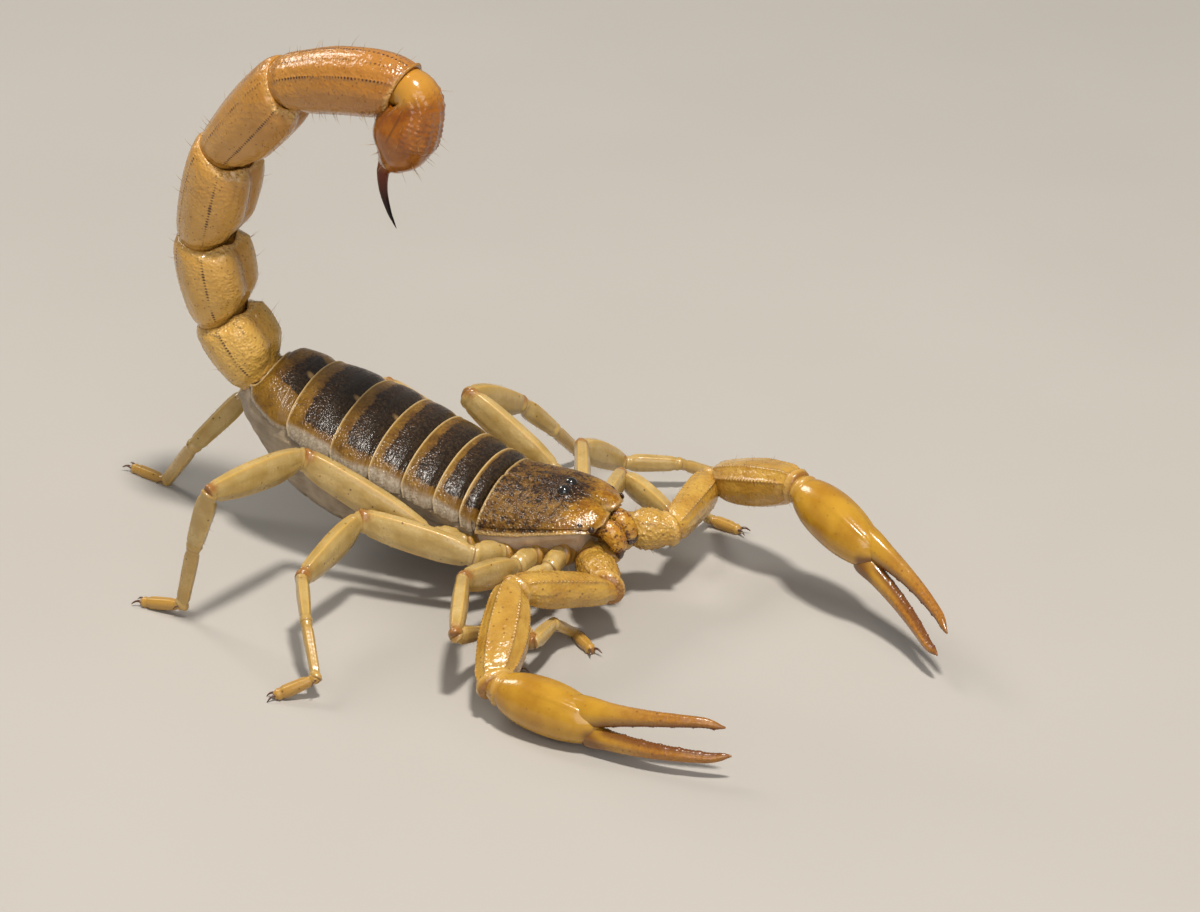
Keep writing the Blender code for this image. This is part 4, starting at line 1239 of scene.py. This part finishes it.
# Along each of a leg's six lengths: share of it, half width, half depth.
LEG_SHAPES = (
    ((0.0, 0.66, 0.72), (0.6, 0.78, 0.88), (1.0, 0.66, 0.76)),
    ((0.0, 0.5, 0.66), (0.3, 0.62, 1.0), (0.75, 0.6, 0.96), (1.0, 0.5, 0.72)),
    ((0.0, 0.46, 0.62), (0.3, 0.62, 1.0), (0.7, 0.6, 0.88), (1.0, 0.46, 0.56)),
    ((0.0, 0.42, 0.48), (0.3, 0.52, 0.6), (0.9, 0.44, 0.48), (1.0, 0.42, 0.46)),
    ((0.0, 0.36, 0.4), (0.15, 0.4, 0.42), (0.9, 0.36, 0.37), (1.0, 0.38, 0.4)),
    ((0.0, 0.34, 0.34), (0.2, 0.37, 0.38), (0.6, 0.42, 0.4), (0.9, 0.36, 0.38), (1.0, 0.28, 0.3)),
)
leg_lengths = {}


def leg_length(shell, key, here, joints, deep, before, after):
    """One length of a leg with its raised edges, rims and knee."""
    cap = 0.22 if here < 3 else 0.16
    shape = np.array(LEG_SHAPES[here]) * (1, 1, deep if here < 5 else 1)
    bends = {"before": before, "after": after, "most": (24, 24)}
    tube = knobbed(joints, shape, (cap, cap), None, 64, 0.94, **bends)
    length = tube.length
    inner = window(0.3, 0.9, length - 0.7, length - 0.2, tube.at)
    edges = tube.ridge(62, 9) + tube.ridge(118, 9) + tube.ridge(-62, 9) + tube.ridge(-118, 9)
    if here == 0:
        edges = tube.ridge(70, 10)
    hoop = bell(tube.at - length + 0.2, 0.12)
    collar = bell(tube.at - 0.18, 0.12)
    groove = bell(tube.at - length + 0.48, 0.14) + bell(tube.at - 0.42, 0.14)
    slim = here > 3
    lift = (0.05 if slim else 0.075) * edges * inner + 0.05 * (hoop + 0.7 * collar) - 0.045 * groove
    lift = lift - (0.0 if slim else 0.05) * inner * (tube.ridge(0, 26) + tube.ridge(180, 26))
    lift = lift + 0.02 * tube.swell(0.9, here + key[1])
    points = tube.surface = tube.points(lift)
    points[..., 2] = np.maximum(points[..., 2], 0)
    knee = 0
    if here in (1, 2):
        knee = step(length - 1.6, length + 0.1, tube.at) * np.clip(0.4 + np.sin(np.radians(tube.turn)), 0, 1)
        knee = knee + 0.6 * (1 - step(-0.1, 0.7, tube.at))
    brown_end = (0.3 if here in (3, 4) else 0) * step(length - 0.6, length, tube.at)
    seam = 1 - step(-0.14, 0.02, tube.at) + step(length, length + 0.14, tube.at)
    shell.grid(
        points, along=tube.at, across=tube.around, edge=0.6 * np.clip(edges * inner + 0.5 * hoop, 0, 1),
        knee=np.clip(0.75 * knee + brown_end, 0, 1), foot=FOOT_BROWN[here], seam=0.7 * np.clip(seam, 0, 1),
    )
    leg_lengths[key, here] = tube


def claw(shell, root, way, side, lean, length, radius):
    """A curved claw or spur that tapers to a point, kept above the floor."""
    share = np.linspace(0, 1, 16)
    way = unit(way + lean * side)
    curve = share[:, None] * way * length + (np.sin(np.pi * share) * 0.22 * length)[:, None] * (0, 0, 1)
    size = radius * np.sqrt(1 - share * 0.985)
    middles = root + curve
    middles[:, 2] = np.maximum(middles[:, 2], size + 0.01)
    rings, _, _ = tube_along(middles, size, size, (0.01, 0.02, 1.0), 12)
    shell.grid(rings, finish=1)


def build_legs():
    """Each leg from its root out, with its foot brought down to the floor."""
    for name, side in SIDES.items():
        for number in range(4):
            *angles, foot_swing = LEG_ANGLES[name][number]
            lengths, deep = LEG_LENGTHS[number], LEG_DEPTHS[number]
            ways = [direction(swing, rise, side) for swing, rise in angles]
            joints = chain(posed(np.array(LEG_ROOTS[number]) * (side, 1, 1)), lengths[:5], ways)
            drop = np.degrees(np.arcsin((joints[-1][2] - FOOT_HEIGHT) / lengths[5]))
            ways.append(direction(foot_swing, -drop, side))
            joints.append(joints[-1] + lengths[5] * ways[-1])
            for title, first, last in (("femur", 0, 2), ("patella", 2, 3), ("foot", 3, 6)):
                shell = Shell()
                for here in range(first, last):
                    before = ways[here - 1] if here else None
                    after = ways[here + 1] if here < 5 else None
                    leg_length(shell, (name, number), here, joints[here:here + 2], deep, before, after)
                if title == "foot":
                    across = unit(np.cross(ways[5], (0, 0, 1)))
                    spur = unit(ways[4] * 0.5 + ways[5])
                    for lean in (-0.42, 0.42):
                        root = joints[6] + across * lean * 0.3 - ways[5] * 0.1
                        claw(shell, root, ways[5], across, lean, 0.85, 0.12)
                        claw(shell, joints[5] + across * lean * 0.7, spur, across, lean * 1.4, 0.6, 0.07)
                shell.make(f"leg_{title}_{name}_{number + 1}", [leg_shell, horn_brown], "limb_shell",
                           f"leg_{name}_{number + 1}_{title}")


build_legs()

# Underside of the head: soft skin under the shield, with the hard bases of the
# legs and pincer arms fanned round a small breastplate.

COXA_ENDS = ((0.75, -6.6, -4.2), (0.7, -5.4, -4.45), (0.75, -3.4, -4.6), (0.8, -1.1, -4.7))
COXA_SHAPE = ((0.0, 0.34, 0.5), (0.3, 0.62, 0.72), (0.75, 0.86, 0.9), (1.0, 0.8, 0.86))


def underside_look(t):
    """Pale grained skin, with amber-brown hard bases."""
    cloud, fine = t.noise(1.2), t.noise(0.22, 3.0, 0.6)
    skin = cloud.blend((0.5, 0.36, 0.24), (0.62, 0.48, 0.34))
    hard = cloud.blend((0.48, 0.27, 0.05), (0.38, 0.19, 0.03))
    colour = t.coated(skin, plate=hard, seam=(0.14, 0.07, 0.025))
    colour = (t.spots(0.55, 0.06, 0.12) * 0.6).mix(colour, (0.14, 0.07, 0.02))
    pleats = t.noise(0.4, 3.0, 0.6, t.grain(2.0, 0.5))
    return colour, 0.36 + (fine - 0.5) * 0.15, (1 - t.painted("plate")) * pleats * 0.07 + fine * 0.015


underside_shell = chitin("underside_shell", underside_look, glow=0.1, coat=0.3)


def add_base(shell, tube, lift, seam=0.0):
    shell.grid(tube.points(lift), plate=1.0, along=tube.at, across=tube.around, seam=seam)


def build_underside():
    columns, rows = 150, np.linspace(-7.4, 3.0, 80)
    flanks = eased(((-7.4, 2.4), (-6.0, 2.9), (-4.3, 3.6), (-2.2, 4.2), (0.6, 4.5), (3.2, 4.5)), rows)[:, 0]
    outlines = np.array([core_outline(y, flank, 0.62 * flank, columns) for y, flank in zip(rows, flanks)])
    x, z = outlines[..., 0], outlines[..., 1]
    y = rows[:, None] + 0 * x
    z = z + 0.05 * swell(x * 2, y, 0.5, 1)
    y = np.minimum(y, WAIST - 0.08 + np.tan(WAIST_TILT) * z)
    shell = Shell()
    shell.grid(posed(np.stack([x, y, z], -1)), along=y, across=x)
    for name, side in SIDES.items():
        for (x, y, z), root in zip(COXA_ENDS, LEG_ROOTS):
            joints = posed((side * x, y, z)), posed(np.array(root) * (side, 1, 1) + (side * 0.15, 0, 0))
            tube = knobbed(joints, COXA_SHAPE, (0.3, 0.35), 40, 56, 0.9)
            past = tube.at - tube.length
            lift = 0.08 * bell(past + 0.05, 0.14) - 0.06 * bell(past + 0.4, 0.16)
            seam = np.clip(step(0, 0.2, past) + bell(past + 0.42, 0.1), 0, 1)
            add_base(shell, tube, lift + 0.03 * tube.grains(0.4, 0.14, 5), 0.5 * seam)
        joints = posed((side * 0.85, -7.2, -3.7)), posed(PALP_ROOT * (side, 1, 1)) + PALP_TUCK[name]
        shape = ((0.0, 0.6, 0.7), (0.5, 1.0, 1.05), (1.0, 1.05, 1.12))
        tube = knobbed(joints, shape, (0.5, 0.4), 40, 72, 0.92)
        past = tube.at - tube.length
        lift = 0.05 * tube.grains(0.45, 0.16, 9) + 0.06 * bell(past, 0.16)
        add_base(shell, tube, lift, 0.6 * step(0.1, 0.3, past))
        # the chewing lobe of the pincer arm's base, which reaches forward under the jaws
        joints = posed((side * 0.95, -7.0, -3.8)), posed((side * 0.9, -9.35, -3.75))
        shape = ((0.0, 0.7, 0.6), (0.6, 0.74, 0.62), (1.0, 0.6, 0.5))
        tube = knobbed(joints, shape, (0.3, 0.45), 36, 56, 0.9, TRUNK_UP)
        add_base(shell, tube, 0.04 * tube.grains(0.4, 0.14, 7))
    middle = np.linspace(-1, 1, 40)
    middles = posed(np.stack([0 * middle, -2.0 + 1.25 * middle, -4.82 + 0 * middle], -1))
    wide = np.sqrt(np.clip(1 - middle ** 2, 0.002, 1)) * (0.62 + 0.25 * middle)
    rings, _, _ = tube_along(middles, wide, wide * 0.32, TRUNK_UP, 40)
    shell.grid(rings, plate=1.0)
    shell.make("underside_and_coxae", [underside_shell], "limb_shell", "underside")


build_underside()

# Jaws: a pair of short pincers below the front of the shield, each a golden
# bulb with a fixed and a moving finger of dark toothed horn.

# Along each jaw: place along y, height, half width, half depth.
CHELICERA = (
    (-7.0, -1.9, 0.55, 0.6), (-7.9, -1.85, 0.66, 0.7), (-8.6, -1.8, 0.72, 0.76), (-9.1, -2.05, 0.74, 0.78),
    (-9.42, -2.5, 0.68, 0.7), (-9.56, -3.0, 0.58, 0.58), (-9.58, -3.3, 0.4, 0.42),
)
JAW_OUT = 0.82
# Each jaw's two fingers: how far out they curve, reach, drop, radius, side with the teeth.
JAW_FINGERS = ((0.42, -0.42, -1.25, 0.38, -1), (-0.3, -0.4, -1.1, 0.32, 1))


def jaw_look(t):
    """Gold netted with dark brown, with a painted glint round the collar and painted shade at the base,
    running out into near-black fingers.
    """
    dark = t.painted("dark")
    cloud, fine = t.noise(0.7), t.noise(0.16, 3.0, 0.65)
    gold = cloud.blend((0.56, 0.29, 0.03), (0.38, 0.14, 0.01))
    net = (dark * 1.2 + (fine - 0.5) * 1.9 + (cloud - 0.5) * 0.9).between(0.35, 0.75)
    colour = t.coated(net.mix(gold, (0.07, 0.02, 0.005)), tip=(0.05, 0.011, 0.003))
    # painted glint: a pale band round the jaw's collar
    colour = (t.painted("rim") * 0.8).mix(colour, (0.7, 0.46, 0.17))
    return colour, 0.16 + fine * 0.1, fine * 0.02 + cloud * 0.04 + t.spots(0.3) * 0.04


jaw_shell = chitin("jaw_shell_gold", jaw_look, glow=0.08, coat=0.5)


def build_jaws():
    for name, side in SIDES.items():
        at, (y, z, wide, deep) = spaced(CHELICERA, 60)
        middles = posed(np.stack([side * JAW_OUT + 0 * y, y, z], -1))
        rings, out, turn = tube_along(middles, wide, deep, TRUNK_TURN @ (0, -0.3, 1), 64)
        share = (at / at[-1])[:, None] + 0 * turn
        collar = bell(share - 0.84, 0.03)
        lift = 0.03 * grains(turn, share * 4, 0.3, 0.12, 2) + 0.03 * collar
        # painted shade: the jaw darkens at its base, under the front of the shield; it also darkens towards
        # its fingers
        ends = 0.3 * step(0.7, 1.0, share) + 0.4 * (1 - step(0.2, 0.45, share))
        dark = ends + 0.28 + 0.3 * swell(turn, share * 6, 0.3, 4)
        shell = Shell()
        # rim paints the glint round the collar
        shell.grid(rings + lift[..., None] * out, rim=0.4 * collar, dark=dark)
        root = np.array((side * JAW_OUT, -9.35, -2.6))
        for out_by, reach, drop, radius, teeth_way in JAW_FINGERS:
            share = np.linspace(0, 1, 40)
            x = root[0] + side * out_by * (1 - 0.6 * share ** 1.7)
            y = root[1] + reach * np.sin(share * np.pi * 0.8)
            z = root[2] + drop * share ** 1.1
            taper = radius * np.sqrt(np.clip(1.02 - share ** 1.6, 0.01, 1))
            line = posed(np.stack([x, y, z], -1))
            rings, out, _ = tube_along(line, taper, taper * 1.15, TRUNK_TURN @ (0, -1.0, 0.2), 28)
            inward = np.clip(out @ (TRUNK_TURN @ (side * teeth_way, 0, 0)), 0, 1)
            share = share[:, None]
            teeth = step(0.75, 0.98, inward) * bell(share * 4.4 % 1 - 0.5, 0.2) * step(0.15, 0.3, share)
            rings = rings + (0.16 * teeth)[..., None] * out
            shell.grid(rings, dark=0.4 + 0.5 * share, tip=0.85 * step(0.1, 0.6, share))
        shell.make(f"jaw_{name}", [jaw_shell], "limb_shell", f"chelicera_{name}")


build_jaws()

# Combs: a pair of feelers under the body behind the legs, each a flat bar with
# a row of close-set paddle teeth along its rear edge.

COMB_TEETH = 22


def build_combs():
    for name, side in SIDES.items():
        inner, outer = np.array((side * 0.55, 3.4, -5.45)), np.array((side * 4.4, 6.8, -5.45))
        way = unit(outer - inner)
        back = unit(np.cross(way, (0, 0, side)))
        shape = ((0.0, 0.3, 0.2), (0.3, 0.4, 0.22), (0.8, 0.3, 0.18), (1.0, 0.12, 0.1))
        shift = -back * 0.3 * np.sign(back[1])
        tube = knobbed((posed(inner + shift), posed(outer + shift)), shape, (0.1, 0.05), 60, 40, up=TRUNK_UP)
        points = tube.points(-0.03 * np.abs(np.cos(tube.at * 2.4)))
        shell = Shell()
        shell.grid(points, plate=1.0, along=tube.at, across=tube.around)
        for tooth in range(COMB_TEETH):
            share = (tooth + 0.5) / COMB_TEETH
            root = inner + (outer - inner) * share
            reach = 0.85 * (1 - 0.5 * share ** 3)
            at = np.linspace(0, 1, 10)
            line = posed(root + (at * reach - 0.1)[:, None] * back * np.sign(back[1]))
            wide = 0.105 * np.sqrt(np.clip(1.01 - at ** 4, 0.02, 1))
            rings, _, _ = tube_along(line, wide, wide * 1.1, TRUNK_UP, 12)
            shell.grid(rings, plate=0.5)
        shell.make(f"comb_{name}", [underside_shell], "limb_shell", f"pectine_{name}")


build_combs()

# Bristles: stiff amber hairs that stand out from the tail, arms and legs, each
# rooted in its own pore of the shell.

BAKE_PATCH = 0.003            # side of each hair's patch of the map
TAIL_SIDES = ((-150, -30), (30, 60), (120, 150), (-30, 20), (160, 210))
# Down an arm: hairs underneath on each of its three lengths, then on top.
ARM_HAIRS = ((14, 8), (12, 16), (10, 18))
# Down a leg: hairs underneath on each of its six lengths, and their length.
LEG_HAIRS = ((4, 0.3), (12, 0.4), (12, 0.42), (12, 0.4), (14, 0.38), (14, 0.26))


def bristle_look(t):
    tip = t.painted("tip")
    return tip.mix((0.2, 0.085, 0.02), (0.5, 0.32, 0.13)), 0.3 + tip * 0.1, tip * 0.0


bristle_amber = chitin("bristle_amber", bristle_look, glow=0.1, coat=0.2)


class Bristles:
    """Hairs of one part of the body, as one mesh of thin tapered spikes with a patch of map for each."""

    def __init__(self, seed):
        self.random = np.random.default_rng(seed)
        self.shell = Shell()
        self.patches = []

    def add(self, root, way, bend, length, radius, place):
        """One hair from its root, bent on its way, with its place on the map."""
        sides, steps = 4, 6
        share = np.linspace(0, 1, steps)
        line = root + share[:, None] * unit(way) * length + (share ** 2)[:, None] * bend * length
        size = radius * (1 - 0.9 * share)
        aside = (0.3, 0.9, 0.2) if abs(unit(way)[1]) < 0.8 else (1.0, 0.1, 0.2)
        rings, _, _ = tube_along(line, size, size, aside, sides)
        rings[..., 2] = np.maximum(rings[..., 2], 0.005)
        self.shell.grid(rings, tip=share[:, None])
        u = place[0] + BAKE_PATCH * np.linspace(0, 1, sides)[None] + 0 * share[:, None]
        v = place[1] + BAKE_PATCH * share[:, None] + 0 * u
        tips = [[u[0].mean(), v[0].mean()], [u[-1].mean(), v[-1].mean()]]
        self.patches.append(np.concatenate([np.stack([u, v], -1).reshape(-1, 2), tips]))

    def over(self, tube, count, turns, length, radius, band, lean=0.45, lift=0.0, low=0.1):
        """Strews hairs over a length of limb between two turns."""
        for _ in range(count):
            share, turn = self.random.uniform(low, 0.95), self.random.uniform(*turns)
            row = np.argmin(np.abs(tube.share[:, 0] - share))
            column = np.argmin(np.abs((tube.turn[0] - turn + 180) % 360 - 180))
            root = tube.surface[row, column]
            out = unit(root - (tube.start + tube.way * tube.at[row, 0]))
            way = unit(out + tube.way * lean * self.random.uniform(0.4, 1.4))
            size = length * self.random.uniform(0.55, 1.25)
            bend = -0.12 * out + 0.1 * tube.way
            place = 0.02 + 0.95 * ((turn + 180) % 360) / 360, band[0] + (band[1] - band[0]) * share
            self.add(root - out * (0.05 - lift), way, bend, size, radius, place)

    def make(self, name, slot):
        made = self.shell.make(name, [bristle_amber], slot)
        layer = made.data.uv_layers.new(name="OFBake")
        corners = np.empty(len(made.data.loops), np.int32)
        made.data.loops.foreach_get("vertex_index", corners)
        layer.data.foreach_set("uv", np.concatenate(self.patches)[corners].astype(np.float32).ravel())


def build_bristles():
    tail = Bristles(5)
    for here, tube in enumerate(tail_lengths):
        band = (here / 7 + 0.01, (here + 1) / 7 - 0.01)
        amount = (14, 20, 26, 34, 60)[here]
        for turns in TAIL_SIDES:
            tail.over(tube, amount // 3, turns, 1.05, 0.018, band, lift=0.02, low=0.08)
    rings, outs = bulb_surface
    for _ in range(70):
        row, column = tail.random.integers(len(rings)), tail.random.integers(rings.shape[1])
        out = outs[row, column]
        place = (0.02 + 0.95 * column / rings.shape[1], 6 / 7 + 0.01 + 0.11 * row / len(rings))
        root, way = rings[row, column] - 0.04 * out, out + 0.35 * STING_WAY
        tail.add(root, way, -0.1 * out, tail.random.uniform(0.6, 1.3), 0.017, place)
    tail.make("bristles_tail", "tail_shell")

    arms = Bristles(9)
    for (name, here), tube in palp_lengths.items():
        row = 3 * (name == "left") + here
        band = (row / 6 + 0.01, (row + 1) / 6 - 0.01)
        below, above = ARM_HAIRS[here]
        arms.over(tube, below, (-120, -60), 0.6, 0.014, band)
        arms.over(tube, above, (40, 140), 0.5, 0.017, band, 0.25)
        for turns in ((-40, 40), (140, 220)):
            arms.over(tube, 10, turns, 0.45, 0.013, band)
    arms.make("bristles_arms", "claw_shell")

    legs = Bristles(13)
    for ((name, number), here), tube in leg_lengths.items():
        row = 24 * (name == "left") + 6 * number + here
        band = (row / 48 + 0.002, (row + 1) / 48 - 0.002)
        count, reach = LEG_HAIRS[here]
        legs.over(tube, count, (-130, -50), reach, 0.012, band)
        legs.over(tube, count // 2, (-50, 230), reach * 0.8, 0.011, band)
    legs.make("bristles_legs", "limb_shell")


build_bristles()

# Studio: a plain pale floor, a small warm key light high over the head, a large
# soft fill at the near side, a light behind, and the camera.


def floor_look(t):
    """Matt card, very slightly clouded."""
    cloud = t.noise(40.0)
    return cloud.mix((0.4, 0.375, 0.34), (0.44, 0.415, 0.38)), cloud * 0.05 + 0.8, cloud * 0.02


def build_studio():
    size = 1.6
    mesh = bpy.data.meshes.new("floor")
    corners = [(x * size, y * size, 0) for x, y in ((-1, -1), (1, -1), (1, 1), (-1, 1))]
    mesh.from_pydata(corners, [], [(0, 1, 2, 3)])
    mesh.materials.append(chitin("floor_pale", floor_look, glow=0.0, coat=0.0))
    placed("floor", mesh)
    target = Vector((0, 0, 0.012))
    for name, place, width, power, colour in (
        ("key", (-0.1, -0.1, 0.45), 0.05, 2.3, (1.0, 0.95, 0.88)),
        ("fill", (-0.36, -0.2, 0.22), 0.3, 0.65, (0.97, 0.98, 1.0)),
        ("back", (0.1, 0.34, 0.3), 0.14, 0.7, (1.0, 0.97, 0.92)),
    ):
        light = bpy.data.lights.new(name, "AREA")
        light.size, light.energy, light.color = width, power, colour
        lamp = placed(name, light)
        lamp.location = place
        lamp.rotation_euler = (target - Vector(place)).to_track_quat("-Z", "Y").to_euler()
    world = bpy.data.worlds.new("studio")
    bpy.context.scene.world = world
    world.use_nodes = True
    world.node_tree.nodes["Background"].inputs["Color"].default_value = (0.88, 0.88, 0.87, 1)
    world.node_tree.nodes["Background"].inputs["Strength"].default_value = 0.27


build_studio()
bpy.context.scene.view_settings.view_transform = "Standard"

AZIMUTH, ELEVATION, ROLL = (radians(angle) for angle in (-64.76, 25.92, 1.39))
CAMERA_PLACE = np.array((7.12, 8.82, 320.0))          # right, up and back from the trunk's origin
LENS, SENSOR = 134.4, 36.0


def place_camera():
    level = np.array((np.sin(AZIMUTH), -np.cos(AZIMUTH), 0))
    back = level * np.cos(ELEVATION) + (0, 0, np.sin(ELEVATION))
    right = np.array((np.cos(AZIMUTH), np.sin(AZIMUTH), 0))
    up = np.cross(back, right)
    right, up = (
        right * np.cos(ROLL) + up * np.sin(ROLL),
        up * np.cos(ROLL) - right * np.sin(ROLL),
    )
    axes = np.stack([right, up, back])
    place = (axes.T @ CAMERA_PLACE - CENTRE) * MM
    data = bpy.data.cameras.new("camera")
    data.lens, data.sensor_width, data.clip_start = LENS, SENSOR, 0.01
    camera = placed("camera", data)
    turned = Matrix([list(row) for row in axes.T]).to_4x4()
    turned.translation = Vector(place)
    camera.matrix_world = turned
    bpy.context.scene.camera = camera


place_camera()

bpy.context.view_layer.update()
